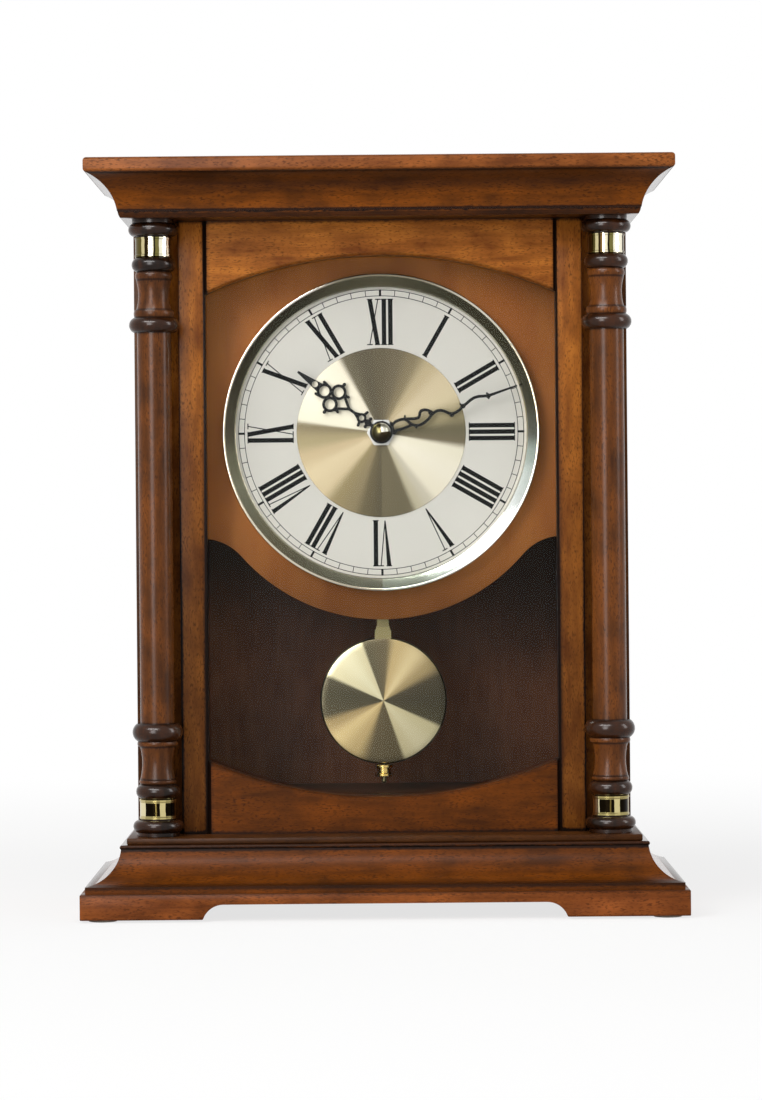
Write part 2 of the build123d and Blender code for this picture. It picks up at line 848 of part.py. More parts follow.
# Columns
foot_top = body_foot + foot_height
base_ring_top = foot_top + base_ring_height
lower_band_foot = base_ring_top + lower_groove_height
lower_band_top = lower_band_foot + band_height
cap_foot = body_top - cap_height
cap_ring_foot = cap_foot - cap_ring_height
upper_band_top = cap_ring_foot - upper_groove_height
upper_band_foot = upper_band_top - band_height
ring_steps = (ring_radius - ring_swell, ring_radius, ring_radius - ring_swell)
bead_steps = (bead_radius - bead_swell, bead_radius, bead_radius - bead_swell)
small_bead_steps = (small_bead_radius - small_bead_swell, small_bead_radius,
                    small_bead_radius - small_bead_swell)
vase_steps = (vase_end_radius, vase_waist_radius, vase_end_radius)
fillet_steps = (vase_fillet_radius - vase_fillet_swell, vase_fillet_radius,
                vase_fillet_radius - vase_fillet_swell)
lower_turning = ((bead_steps, bead_height), (small_bead_steps, lower_small_bead_height),
                 (vase_steps, lower_vase_height), (fillet_steps, lower_fillet_height),
                 (ring_steps, lower_collar_height))
upper_turning = ((bead_steps, bead_height), (small_bead_steps, upper_small_bead_height),
                 (vase_steps, upper_vase_height), (fillet_steps, upper_fillet_height),
                 (ring_steps, upper_collar_height))
shaft_steps = [straight(column_spigot_radius, foot_top, lower_band_top)]
level = lower_band_top
for radii, rise in lower_turning:
    shaft_steps.append((*radii, level, level + rise))
    level += rise
shaft_steps.append(straight(shaft_radius, level, upper_band_foot - sum(rise for radii,
                                                                       rise in upper_turning)))
level = shaft_steps[-1][4]
for radii, rise in reversed(upper_turning):
    shaft_steps.append((*radii, level, level + rise))
    level += rise
shaft_steps.append(straight(column_spigot_radius, upper_band_foot, cap_foot))
spigot_hole = column_spigot_radius + column_spigot_clearance
with BuildPart() as columns:
    for side in sides:
        spin(column_plane(side), shaft_steps)
save(columns.part, "columns")

with BuildPart() as column_rings:
    for side in sides:
        spin(column_plane(side), [straight(foot_radius, body_foot, foot_top),
                                  (*ring_steps, foot_top, base_ring_top),
                                  straight(groove_radius, base_ring_top, lower_band_foot)])
        spin(column_plane(side), [straight(groove_radius, upper_band_top, cap_ring_foot),
                                  (*ring_steps, cap_ring_foot, cap_foot),
                                  straight(foot_radius, cap_foot, body_top)])
        for start, stop in ((foot_top, lower_band_foot), (upper_band_top, cap_foot)):
            rod("z", (side * column_x, column_y), spigot_hole, (start, stop), mode=Mode.SUBTRACT)
save(column_rings.part, "column_rings")

with BuildPart() as column_brass_bands:
    for side in sides:
        for start, stop in ((lower_band_foot, lower_band_top), (upper_band_foot, upper_band_top)):
            rod("z", (side * column_x, column_y), band_radius, (start, stop))
            rod("z", (side * column_x, column_y), spigot_hole, (start, stop), mode=Mode.SUBTRACT)
save(column_brass_bands.part, "column_brass_bands")

# Dial
dial_hole = bush_radius + dial_hole_clearance
board_half_width = side_inner - dial_board_gap
arc_radius = bezel_outer_radius + dial_board_margin
ear_x = board_half_width - dial_board_ear_inset
ear_z = dial_height - sqrt((arc_radius + dial_board_ear_radius) ** 2 - ear_x ** 2)
ear_turn = atan2(ear_z - dial_height, ear_x)
arc_end = (arc_radius * cos(ear_turn), dial_height + arc_radius * sin(ear_turn))
ear_top = (ear_x, ear_z + dial_board_ear_radius)
ear_middle_turn = (ear_turn + radians(270)) / 2
ear_middle = (ear_x + dial_board_ear_radius * cos(ear_middle_turn),
              ear_z + dial_board_ear_radius * sin(ear_middle_turn))
with BuildPart() as dial_board:
    with BuildSketch(Plane.XZ.offset(-dial_back)) as board_outline:
        with BuildLine():
            ThreePointArc((-arc_end[0], arc_end[1]), (0, dial_height - arc_radius), arc_end)
            for way in (-1, 1):
                ThreePointArc((way * arc_end[0], arc_end[1]), (way * ear_middle[0], ear_middle[1]),
                              (way * ear_top[0], ear_top[1]))
                Line((way * ear_top[0], ear_top[1]), (way * board_half_width, ear_top[1]))
                Line((way * board_half_width, ear_top[1]), (way * board_half_width, ceiling_foot))
            Line((-board_half_width, ceiling_foot), (board_half_width, ceiling_foot))
        make_face()
    extrude(amount=dial_board_thickness)
    rod("y", (0, dial_height), dial_hole, (dial_front, dial_back), mode=Mode.SUBTRACT)
    for place in dial_screws:
        rod("y", place, screw_pilot_radius, (dial_back + cleat_thickness - screw_reach, dial_back),
            mode=Mode.SUBTRACT)
save(dial_board.part, "dial_board")

dial_plane = Plane(origin=(0, 0, dial_height))
with BuildPart() as dial_plate:
    rod("y", (0, dial_height), dial_plate_radius, (plate_front, dial_front))
    rod("y", (0, dial_height), dial_hole, (plate_front, dial_front), mode=Mode.SUBTRACT)
save(dial_plate.part, "dial_plate")

with BuildPart() as dial_centre_disc:
    rod("y", (0, dial_height), centre_disc_radius, (disc_front, plate_front))
    rod("y", (0, dial_height), dial_hole, (disc_front, plate_front), mode=Mode.SUBTRACT)
save(dial_centre_disc.part, "dial_centre_disc")

bezel_front = dial_front - bezel_height
bezel_seat = dial_plate_radius + bezel_seat_clearance
with BuildPart() as bezel_ring:
    with BuildSketch(dial_plane) as bezel_section:
        Polygon((bezel_seat, dial_front), (bezel_outer_radius, dial_front),
                (bezel_outer_radius, bezel_front + bezel_edge_round),
                (bezel_outer_radius - bezel_edge_round, bezel_front),
                (bezel_outer_radius - bezel_edge_round - bezel_crown_width, bezel_front),
                (bezel_inner_radius + bezel_lip_width, plate_front - bezel_lip_height),
                (bezel_inner_radius, plate_front - bezel_lip_height), (bezel_inner_radius, plate_front),
                (bezel_seat, plate_front), align=None)
    revolve(bezel_section.sketch, axis=Axis(dial_plane.origin, dial_plane.y_dir))
save(bezel_ring.part, "bezel_ring")

# Bush, nut and hands
with BuildPart() as centre_bush:
    rod("y", (0, dial_height), bush_radius, (bush_end, wall_inner))
    rod("y", (0, dial_height), bush_flange_radius, (wall_inner, wall_inner + bush_flange_thickness))
    rod("y", (0, dial_height), bush_bore, (bush_end, wall_inner + bush_flange_thickness),
        mode=Mode.SUBTRACT)
save(centre_bush.part, "centre_bush")

with BuildPart() as centre_nut:
    with BuildSketch(clock_plane(disc_front, 0)) as nut_outline:
        RegularPolygon(nut_corner_radius, 6)
        Circle(bush_radius + bush_hole_clearance, mode=Mode.SUBTRACT)
    extrude(nut_outline.sketch, amount=nut_thickness)
save(centre_nut.part, "centre_nut")

with BuildPart() as hour_hand:
    with BuildSketch(clock_plane(hour_hand_back, 90 - hour_angle_clock)) as hour_outline:
        Circle(hour_boss_radius)
        bar((hour_boss_radius, 0), (hour_drop_x - hour_drop_radius, 0), hour_neck_width)
        spot((hour_knot_x, 0), hour_knot_radius)
        spot((hour_drop_x, 0), hour_drop_radius)
        Polygon((hour_drop_x, -hour_drop_radius), (hour_drop_point_x, -hand_stroke / 2),
                (hour_drop_point_x, hand_stroke / 2), (hour_drop_x, hour_drop_radius), align=None)
        bar((hour_drop_point_x, 0), (hour_fork_x, 0), hand_stroke)
        for way in (-1, 1):
            spot((hour_knot_lobe[0], way * hour_knot_lobe[1]), hour_lobe_radius)
            spur = (hour_spur[0], way * hour_spur[1])
            bar((hour_drop_x, way * hour_drop_radius / 2), spur, hand_stroke)
            spot(spur, hour_spur_radius)
            blob = (hour_blob[0], way * hour_blob[1])
            bar((hour_fork_x, 0), blob, hand_stroke)
            spot(blob, hour_blob_radius)
            horn = (hour_horn[0], way * hour_horn[1])
            bar(blob, horn, hand_stroke)
            spot(horn, hour_horn_radius)
            spot((hour_side_ring[0], way * hour_side_ring[1]), hour_ring_radius + hand_stroke / 2)
            spot((hour_side_bud[0], way * hour_side_bud[1]), hour_bud_radius)
            bar((hour_side_ring[0], way * (hour_side_ring[1] + hour_ring_radius)),
                (hour_side_bud[0], way * hour_side_bud[1]), hand_stroke)
            spot((hour_front_bud[0], way * hour_front_bud[1]), hour_front_bud_radius)
            bar((hour_front_ring_x, way * hour_ring_radius), (hour_front_bud[0], way * hour_front_bud[1]),
                hand_stroke)
        spot((hour_front_ring_x, 0), hour_ring_radius + hand_stroke / 2)
        Polygon((hour_spear_root[0], -hour_spear_root[1]), (hour_tip[0], -hour_tip[1]),
                (hour_tip[0], hour_tip[1]), (hour_spear_root[0], hour_spear_root[1]), align=None)
        for way in (-1, 1):
            spot((hour_side_ring[0], way * hour_side_ring[1]), hour_ring_radius - hand_stroke / 2,
                 mode=Mode.SUBTRACT)
        spot((hour_front_ring_x, 0), hour_ring_radius - hand_stroke / 2, mode=Mode.SUBTRACT)
        spot((hour_drop_x, 0), hour_drop_hole, mode=Mode.SUBTRACT)
        spot((hour_spear_hole_x, 0), hour_spear_hole, mode=Mode.SUBTRACT)
        scale(by=hand_share)
        Circle(hour_nose_radius + seat_clearance, mode=Mode.SUBTRACT)
    extrude(hour_outline.sketch, amount=hand_thickness)
save(hour_hand.part, "hour_hand")

with BuildPart() as minute_hand:
    with BuildSketch(clock_plane(minute_hand_back, 90 - minute_angle_clock)) as minute_outline:
        Circle(minute_boss_radius)
        for strand in (minute_vine, minute_root, minute_scroll):
            for start, stop in zip(strand, strand[1:]):
                bar(start, stop, minute_stroke)
        for stem, bud in zip(minute_bud_stems, minute_buds):
            bar(stem, bud, minute_bud_width)
        for node in minute_nodes:
            spot(node, minute_node_radius)
        end = minute_vine[-1]
        Polygon((end[0], end[1] - minute_stroke / 2), (minute_tip_reach, -minute_tip_half_width),
                (minute_tip_reach, minute_tip_half_width), (end[0], end[1] + minute_stroke / 2), align=None)
        scale(by=hand_share)
        Circle(minute_nose_radius + seat_clearance, mode=Mode.SUBTRACT)
    extrude(minute_outline.sketch, amount=hand_thickness)
save(minute_hand.part, "minute_hand")

cap_end = minute_hand_front - cap_height_over_hand
with BuildPart() as hand_cap_nut:
    spin(dial_plane, [(0, cap_radius * sqrt(3) / 2, cap_radius, cap_end, minute_hand_front - cap_skirt),
                      straight(cap_radius, minute_hand_front - cap_skirt, minute_hand_front)])
    rod("y", (0, dial_height), minute_nose_radius + seat_clearance,
        (minute_hand_front - cap_bore_depth, minute_hand_front), mode=Mode.SUBTRACT)
save(hand_cap_nut.part, "hand_cap_nut")

# Gears
centre = (0, dial_height)
motion = polar(centre, motion_distance, motion_bearing)
third = polar(centre, centre_module * (centre_teeth + third_pinion_teeth) / 2, third_bearing)
seconds = polar(third, train_module * (third_teeth + seconds_pinion_teeth) / 2, seconds_bearing)
intermediate = polar(seconds, train_module * (seconds_teeth + intermediate_pinion_teeth) / 2,
                     intermediate_bearing)
rotor = polar(intermediate, train_module * (intermediate_teeth + rotor_pinion_teeth) / 2, rotor_bearing)
cannon_module = motion_distance * 2 / (cannon_teeth + motion_teeth)
hour_module = motion_distance * 2 / (hour_teeth + motion_pinion_teeth)
hour_level = wall_inner + hour_layer
cannon_level = wall_inner + cannon_layer
centre_level = wall_inner + centre_layer
third_level = wall_inner + third_layer
seconds_level = wall_inner + seconds_layer
intermediate_level = wall_inner + intermediate_layer
rotor_level = wall_inner + rotor_layer


def gap_bearing(bearing, teeth):
    """Where a gear's tooth points so that a gap faces back along a bearing."""
    return bearing + 180 + 180 / teeth


def arbor(place):
    """A wheel's arbor with a pivot at each end."""
    turned = Plane(origin=(place[0], 0, place[1]))
    spin(turned, [straight(pivot_radius, wall_inner - pivot_length, wall_inner + arbor_end_gap),
                  straight(arbor_radius, wall_inner + arbor_end_gap, shell_joint - arbor_end_gap),
                  straight(pivot_radius, shell_joint - arbor_end_gap, shell_joint + pivot_length)])


knob_front = rear_face + knob_gap
knob_back = knob_front + knob_thickness
with BuildPart() as minute_arbor:
    spin(dial_plane, [straight(minute_nose_radius, minute_hand_front - cap_bore_depth / 2,
                               minute_hand_back),
                      straight(minute_arbor_radius, minute_hand_back, knob_front),
                      straight(minute_nose_radius, knob_front, knob_back - knob_hub_length)])
    gear(centre, cannon_teeth, cannon_module, motion_bearing, cannon_level, layer_thickness)
save(minute_arbor.part, "minute_arbor")

with BuildPart() as setting_knob:
    rod("y", centre, knob_radius, (knob_front, knob_back))
    for count in range(knob_flutes):
        rod("y", polar(centre, knob_radius, 360 * count / knob_flutes), knob_flute_radius, (knob_front,
                                                                                            knob_back),
            mode=Mode.SUBTRACT)
    rod("y", centre, minute_nose_radius + seat_clearance, (knob_front, knob_back - knob_hub_length),
        mode=Mode.SUBTRACT)
save(setting_knob.part, "setting_knob")

with BuildPart() as hour_wheel:
    gear(centre, hour_teeth, hour_module, motion_bearing, hour_level, layer_thickness)
    rod("y", centre, hour_pipe_radius, (hour_hand_back, hour_level))
    rod("y", centre, hour_nose_radius, (hour_hand_front, hour_hand_back))
    rod("y", centre, minute_arbor_radius + running_clearance, (hour_hand_front,
                                                               hour_level + layer_thickness),
        mode=Mode.SUBTRACT)
save(hour_wheel.part, "hour_wheel")

with BuildPart() as motion_wheel:
    rod("y", motion, motion_hub_radius, (hour_level, cannon_level + layer_thickness))
    gear(motion, motion_pinion_teeth, hour_module, gap_bearing(motion_bearing, motion_pinion_teeth),
         hour_level,
         layer_thickness)
    gear(motion, motion_teeth, cannon_module, gap_bearing(motion_bearing, motion_teeth), cannon_level,
         layer_thickness)
    rod("y", motion, motion_stud_radius + running_clearance, (hour_level, cannon_level + layer_thickness),
        mode=Mode.SUBTRACT)
save(motion_wheel.part, "motion_wheel")

with BuildPart() as centre_wheel:
    gear(centre, centre_teeth, centre_module, third_bearing, centre_level, thin_layer_thickness)
    rod("y", centre, centre_hub_radius, (centre_level - (centre_hub_length - thin_layer_thickness) / 2,
                                         centre_level + (centre_hub_length + thin_layer_thickness) / 2))
    rod("y", centre, minute_arbor_radius + running_clearance,
        (centre_level - centre_hub_length, centre_level + centre_hub_length), mode=Mode.SUBTRACT)
save(centre_wheel.part, "centre_wheel")

train = ((third, "third_wheel", third_teeth, third_level, seconds_bearing, third_pinion_teeth,
          centre_module,
          centre_level, third_bearing),
         (seconds, "seconds_wheel", seconds_teeth, seconds_level, intermediate_bearing,
          seconds_pinion_teeth,
          train_module, third_level, seconds_bearing),
         (intermediate, "intermediate_wheel", intermediate_teeth, intermediate_level, rotor_bearing,
          intermediate_pinion_teeth, train_module, seconds_level, intermediate_bearing))
for place, name, teeth, wheel_level, onward, leaves, pinion_module, pinion_level, bearing in train:
    with BuildPart() as wheel:
        arbor(place)
        gear(place, teeth, train_module, onward, wheel_level, thin_layer_thickness)
        gear(place, leaves, pinion_module, gap_bearing(bearing, leaves), pinion_level, thin_layer_thickness)
    save(wheel.part, name)

with BuildPart() as motor_rotor:
    arbor(rotor)
    gear(rotor, rotor_pinion_teeth, train_module, gap_bearing(rotor_bearing, rotor_pinion_teeth),
         intermediate_level, thin_layer_thickness)
    rod("y", rotor, rotor_radius, (rotor_level, rotor_level + rotor_length))
save(motor_rotor.part, "motor_rotor")

# Movement housing
pillar_x = housing_half_width - pillar_side_inset
pillars = [(side * pillar_x, z) for side in sides
           for z in (housing_foot_height + pillar_foot_rise, housing_top_height - pillar_top_drop)]
housing_inner = housing_half_width - housing_wall
pendulum_front = wall_inner + pivot_boss_length + pivot_end_gap
hanger_front = pendulum_front + hanger_setback
hanger_back = hanger_front + strip_thickness
strip_back = hanger_back + strip_thickness
barrel_back = pendulum_front + barrel_length
with BuildPart() as movement_front_shell:
    slab((-housing_half_width, housing_half_width), (dial_back, shell_joint),
         (housing_foot_height, housing_top_height))
    slab((-housing_inner, housing_inner), (wall_inner, shell_joint),
         (housing_foot_height + housing_wall, housing_top_height - housing_wall), mode=Mode.SUBTRACT)
    for place in pillars:
        rod("y", place, pillar_radius, (wall_inner, shell_joint))
        rod("y", place, screw_pilot_radius, (plate_back - screw_reach, shell_joint), mode=Mode.SUBTRACT)
    rod("y", centre, bush_radius + bush_hole_clearance, (dial_back, wall_inner), mode=Mode.SUBTRACT)
    for place in (third, seconds, intermediate, rotor):
        rod("y", place, pivot_radius + running_clearance, (wall_inner - socket_depth, wall_inner),
            mode=Mode.SUBTRACT)
    rod("y", motion, motion_stud_radius, (wall_inner, cannon_level + layer_thickness))
    rod("y", (0, pivot_height), pivot_boss_radius, (wall_inner, wall_inner + pivot_boss_length))
    rod("y", (0, pivot_height), pivot_radius, (wall_inner, barrel_back + pivot_stand_out))
    slab((-slot_half_width, slot_half_width), (pendulum_front, strip_back + slot_margin),
         (housing_foot_height, housing_foot_height + housing_wall), mode=Mode.SUBTRACT)
save(movement_front_shell.part, "movement_front_shell")

with BuildPart() as movement_plate:
    slab((plate_gap - housing_inner, housing_inner - plate_gap), (shell_joint, plate_back),
         (housing_foot_height + plate_foot_rise, housing_top_height - housing_wall - plate_gap))
    for place in (third, seconds, intermediate, rotor):
        rod("y", place, pivot_radius + running_clearance, (shell_joint, plate_back), mode=Mode.SUBTRACT)
    rod("y", centre, minute_arbor_radius + running_clearance, (shell_joint, plate_back), mode=Mode.SUBTRACT)
    for place in pillars:
        rod("y", place, screw_pilot_radius, (shell_joint, plate_back), mode=Mode.SUBTRACT)
save(movement_plate.part, "movement_plate")

with BuildPart() as case_screws:
    for seat, places in ((frame_back + clip_thickness, clip_screws), (dial_back + cleat_thickness,
                                                                      dial_screws),
                         (plate_back, pillars)):
        for place in places:
            rod("y", place, screw_radius, (seat - screw_reach, seat))
            rod("y", place, screw_head_radius, (seat, seat + screw_head_height))
save(case_screws.part, "case_screws")

control_wall = (rear_inner, rear_face)
battery_y = shell_joint + battery_from_plate_front
with BuildPart() as movement_rear_shell:
    slab((-housing_half_width, housing_half_width), (shell_joint, rear_face),
         (housing_foot_height, housing_top_height))
    slab((-housing_inner, housing_inner), (shell_joint, rear_inner),
         (housing_foot_height + housing_wall, housing_top_height - housing_wall), mode=Mode.SUBTRACT)
    for x in (-rib_far, -rib_near, rib_near, rib_far):
        slab((x - rib_width / 2, x + rib_width / 2), (shell_joint, rear_inner),
             (housing_foot_height + housing_wall, housing_foot_height + housing_wall + rib_height))
    rod("x", (battery_y, battery_height), battery_radius + rib_clearance, (-housing_inner, housing_inner),
        mode=Mode.SUBTRACT)
    rod("y", centre, minute_arbor_radius + dial_hole_clearance, control_wall, mode=Mode.SUBTRACT)
    rod("y", speaker_place, sound_hole_radius, control_wall, mode=Mode.SUBTRACT)
    for count in range(sound_hole_count):
        rod("y", polar(speaker_place, sound_ring_radius, 360 * count / sound_hole_count), sound_hole_radius,
            control_wall, mode=Mode.SUBTRACT)
    for x, z in (selector_place, silence_place):
        slab((x - slider_half_width - slider_clearance,
              x + slider_half_width + slider_travel + slider_clearance),
             control_wall, (z - slider_half_height - slider_clearance,
                            z + slider_half_height + slider_clearance),
             mode=Mode.SUBTRACT)
    rod("y", volume_place, volume_shaft_radius + running_clearance, control_wall, mode=Mode.SUBTRACT)
    rod("y", test_place, test_radius + running_clearance, control_wall, mode=Mode.SUBTRACT)
    slab((-bay_opening_half_width, bay_opening_half_width), control_wall,
         (battery_height - bay_opening_half_height,
          battery_height + bay_opening_half_height), mode=Mode.SUBTRACT)
save(movement_rear_shell.part, "movement_rear_shell")

with BuildPart() as battery_cover:
    slab((-bay_opening_half_width - cover_margin, bay_opening_half_width + cover_margin),
         (rear_face, rear_face + cover_thickness),
         (battery_height - bay_opening_half_height - cover_margin,
          battery_height + bay_opening_half_height + cover_margin))
    slab((cover_clearance - bay_opening_half_width, bay_opening_half_width - cover_clearance),
         (rear_face - cover_lip, rear_face),
         (battery_height - bay_opening_half_height + cover_clearance,
          battery_height + bay_opening_half_height - cover_clearance))
save(battery_cover.part, "battery_cover")

battery_span = battery_length + battery_nub_length
with BuildPart() as batteries:
    for start in (-battery_middle_gap / 2 - battery_span, battery_middle_gap / 2):
        rod("x", (battery_y, battery_height), battery_radius, (start, start + battery_length))
        rod("x", (battery_y, battery_height), battery_nub_radius,
            (start + battery_length, start + battery_span))
save(batteries.part, "batteries")

with BuildPart() as battery_contacts:
    for side in sides:
        slab((side * (housing_inner - contact_thickness), side * housing_inner),
             (battery_y - contact_half_height, battery_y + contact_half_height),
             (battery_height - contact_half_height, battery_height + contact_half_height))
        rod("x", (battery_y, battery_height), contact_bump_radius,
            (side * (battery_middle_gap / 2 + battery_span), side * (housing_inner - contact_thickness)))
    slab((-battery_middle_gap / 2, battery_middle_gap / 2),
         (battery_y - contact_half_height, battery_y + contact_half_height),
         (housing_foot_height + housing_wall, battery_height + contact_half_height))
save(battery_contacts.part, "battery_contacts")

# Motor, circuit board, speaker and controls
coil_height = rotor[1] - stator_half_height - stator_leg_drop
core_foot = coil_height - stator_core_height / 2
with BuildPart() as motor_stator:
    slab((rotor[0] - stator_half_width, rotor[0] + stator_half_width), (rotor_level,
                                                                        rotor_level + rotor_length),
         (core_foot, rotor[1] + stator_half_height))
    slab((rotor[0] - stator_half_width + stator_leg_width, rotor[0] + stator_half_width - stator_leg_width),
         (rotor_level, rotor_level + rotor_length), (core_foot + stator_core_height,
                                                     rotor[1] - stator_half_height),
         mode=Mode.SUBTRACT)
    rod("y", rotor, rotor_radius + rotor_gap, (rotor_level, rotor_level + rotor_length), mode=Mode.SUBTRACT)
    for way in (-1, 1):
        rod("y", (rotor[0] + way * (stator_half_width - stator_leg_width / 2), rotor[1]),
            stator_post_radius,
            (rotor_level + rotor_length, shell_joint))
save(motor_stator.part, "motor_stator")

magnet_back = hanger_back + magnet_thickness
coil_front = magnet_back + drive_coil_gap
with BuildPart() as coils:
    coil_reach = stator_half_width - stator_leg_width
    rod("x", (rotor_level + rotor_length / 2, coil_height), motor_coil_radius,
        (rotor[0] - coil_reach, rotor[0] + coil_reach))
    slab((rotor[0] - coil_reach, rotor[0] + coil_reach), (rotor_level, rotor_level + rotor_length),
         (core_foot, core_foot + stator_core_height), mode=Mode.SUBTRACT)
    rod("y", (0, magnet_height), drive_coil_radius, (coil_front, coil_front + drive_coil_depth))
    rod("y", (0, magnet_height), drive_core_radius, (coil_front, shell_joint))
save(coils.part, "coils")

with BuildPart() as circuit_board:
    slab((board_left, board_left + board_width), (plate_back, board_back), (board_foot, board_top))
    slab((chip_place[0] - chip_size / 2, chip_place[0] + chip_size / 2), (board_back,
                                                                          board_back + chip_thickness),
         (chip_place[1] - chip_size / 2, chip_place[1] + chip_size / 2))
    for x, z in (selector_place, silence_place):
        slab((x - slider_half_width, x + slider_half_width + slider_travel),
             (board_back, board_back + switch_body_height),
             (z - slider_half_height, z + slider_half_height))
save(circuit_board.part, "circuit_board")

slider_front = board_back + switch_body_height + switch_gap
for (x, z), name in ((selector_place, "chime_selector"), (silence_place, "night_silence_switch")):
    with BuildPart() as slider:
        slab((x - slider_half_width, x + slider_half_width), (slider_front, rear_face + slider_stand_out),
             (z - slider_half_height, z + slider_half_height))
    save(slider.part, name)

volume_front = rear_face + control_gap
with BuildPart() as volume_knob:
    rod("y", volume_place, volume_knob_radius, (volume_front, volume_front + volume_knob_thickness))
    rod("y", volume_place, volume_shaft_radius, (board_back + switch_gap, volume_front))
    slab((volume_place[0] - volume_notch / 2, volume_place[0] + volume_notch / 2),
         (volume_front + volume_knob_thickness - volume_notch, volume_front + volume_knob_thickness),
         (volume_place[1], volume_place[1] + volume_knob_radius), mode=Mode.SUBTRACT)
save(volume_knob.part, "volume_knob")

flange_back = rear_inner - switch_gap
with BuildPart() as test_button:
    rod("y", test_place, test_radius, (board_back + test_travel + control_gap, rear_face + test_stand_out))
    rod("y", test_place, test_flange_radius, (flange_back - test_flange_thickness, flange_back))
save(test_button.part, "test_button")

with BuildPart() as speaker:
    rod("y", speaker_place, speaker_radius, (rear_inner - speaker_depth / 2, rear_inner))
    rod("y", speaker_place, speaker_magnet_radius, (rear_inner - speaker_depth,
                                                    rear_inner - speaker_depth / 2))
save(speaker.part, "speaker")

# Pendulum
with BuildPart() as pendulum_hanger:
    rod("y", (0, pivot_height), barrel_radius, (pendulum_front, barrel_back))
    slab((-strip_half_width, strip_half_width), (hanger_front, hanger_back),
         (pivot_height - hanger_foot_drop, pivot_height + hanger_top_rise))
    rod("y", (0, hook_height), hook_radius, (hanger_back, hanger_back + hook_length))
    rod("y", (0, pivot_height), pivot_radius + running_clearance, (pendulum_front, barrel_back),
        mode=Mode.SUBTRACT)
save(pendulum_hanger.part, "pendulum_hanger")

with BuildPart() as pendulum_magnet:
    rod("y", (0, magnet_height), magnet_radius, (hanger_back, magnet_back))
save(pendulum_magnet.part, "pendulum_magnet")

strip_middle = (hanger_back + strip_back) / 2
strip_foot = bob_foot + strip_foot_rise
tail_top = bob_foot + tail_top_rise
tail_ball_height = bob_foot - tail_ball_drop
with BuildPart() as pendulum_rod:
    slab((-strip_half_width, strip_half_width), (hanger_back, strip_back), (strip_foot,
                                                                            pivot_height - strip_top_drop))
    rod("y", (0, hook_height), hook_radius + running_clearance, (hanger_back, strip_back),
        mode=Mode.SUBTRACT)
    rod("z", (0, strip_middle), tail_radius, (tail_ball_height, tail_top))
    with Locations((0, strip_middle, tail_ball_height)):
        Sphere(tail_ball_radius)
save(pendulum_rod.part, "pendulum_rod")

bob_front = strip_middle - (bob_dome + bob_front_bevel + bob_rim / 2)
bob_plane = Plane(origin=(0, 0, bob_height))
bob_face_radius = bob_radius - bob_face_inset
bob_back_radius = bob_radius - bob_back_inset
clip_block_foot = bob_height + bob_radius - clip_block_sink
clip_block_step = clip_block_foot + clip_block_height
clip_block_top = clip_block_step + clip_block_upper_height
bob_back = bob_front + bob_dome + bob_front_bevel + bob_rim + bob_back_bevel
with BuildPart() as pendulum_bob:
    with BuildSketch(bob_plane) as bob_section:
        with BuildLine():
            ThreePointArc((0, bob_front), (bob_face_radius / sqrt(2), bob_front + bob_dome / 2),
                          (bob_face_radius, bob_front + bob_dome))
            Polyline((bob_face_radius, bob_front + bob_dome),
                     (bob_radius, bob_front + bob_dome + bob_front_bevel),
                     (bob_radius, bob_back - bob_back_bevel), (bob_back_radius, bob_back), (0, bob_back),
                     (0, bob_front))
        make_face()
    revolve(bob_section.sketch, axis=Axis(bob_plane.origin, bob_plane.y_dir))
    clip_span = (strip_middle - clip_block_half_depth, strip_middle + clip_block_half_depth)
    slab((-clip_block_half_width, clip_block_half_width), clip_span, (clip_block_foot, clip_block_step))
    slab((-clip_block_upper_half_width, clip_block_upper_half_width), clip_span, (clip_block_step,
                                                                                  clip_block_top))
    slab((-strip_half_width - bob_slot_clearance, strip_half_width + bob_slot_clearance),
         (hanger_back - bob_slot_clearance, strip_back + bob_slot_clearance),
         (strip_foot - bob_slot_clearance, clip_block_top), mode=Mode.SUBTRACT)
    rod("z", (0, strip_middle), tail_radius + bob_slot_clearance, (bob_foot, tail_top + bob_slot_clearance),
        mode=Mode.SUBTRACT)
save(pendulum_bob.part, "pendulum_bob")

nut_plane = Plane(origin=(0, strip_middle, 0), x_dir=(1, 0, 0), z_dir=(0, -1, 0))
rating_nut_foot = bob_foot - rating_nut_drop
rating_nut_top = rating_nut_foot + rating_nut_height
with BuildPart() as rating_nut:
    spin(nut_plane, [straight(rating_flange_radius, rating_nut_foot,
                              rating_nut_foot + rating_flange_height),
                     straight(rating_neck_radius, rating_nut_foot + rating_flange_height,
                              rating_nut_top - rating_flange_height),
                     straight(rating_flange_radius, rating_nut_top - rating_flange_height, rating_nut_top)])
    rod("z", (0, strip_middle), tail_radius + running_clearance, (rating_nut_foot, rating_nut_top),
        mode=Mode.SUBTRACT)
save(rating_nut.part, "rating_nut")

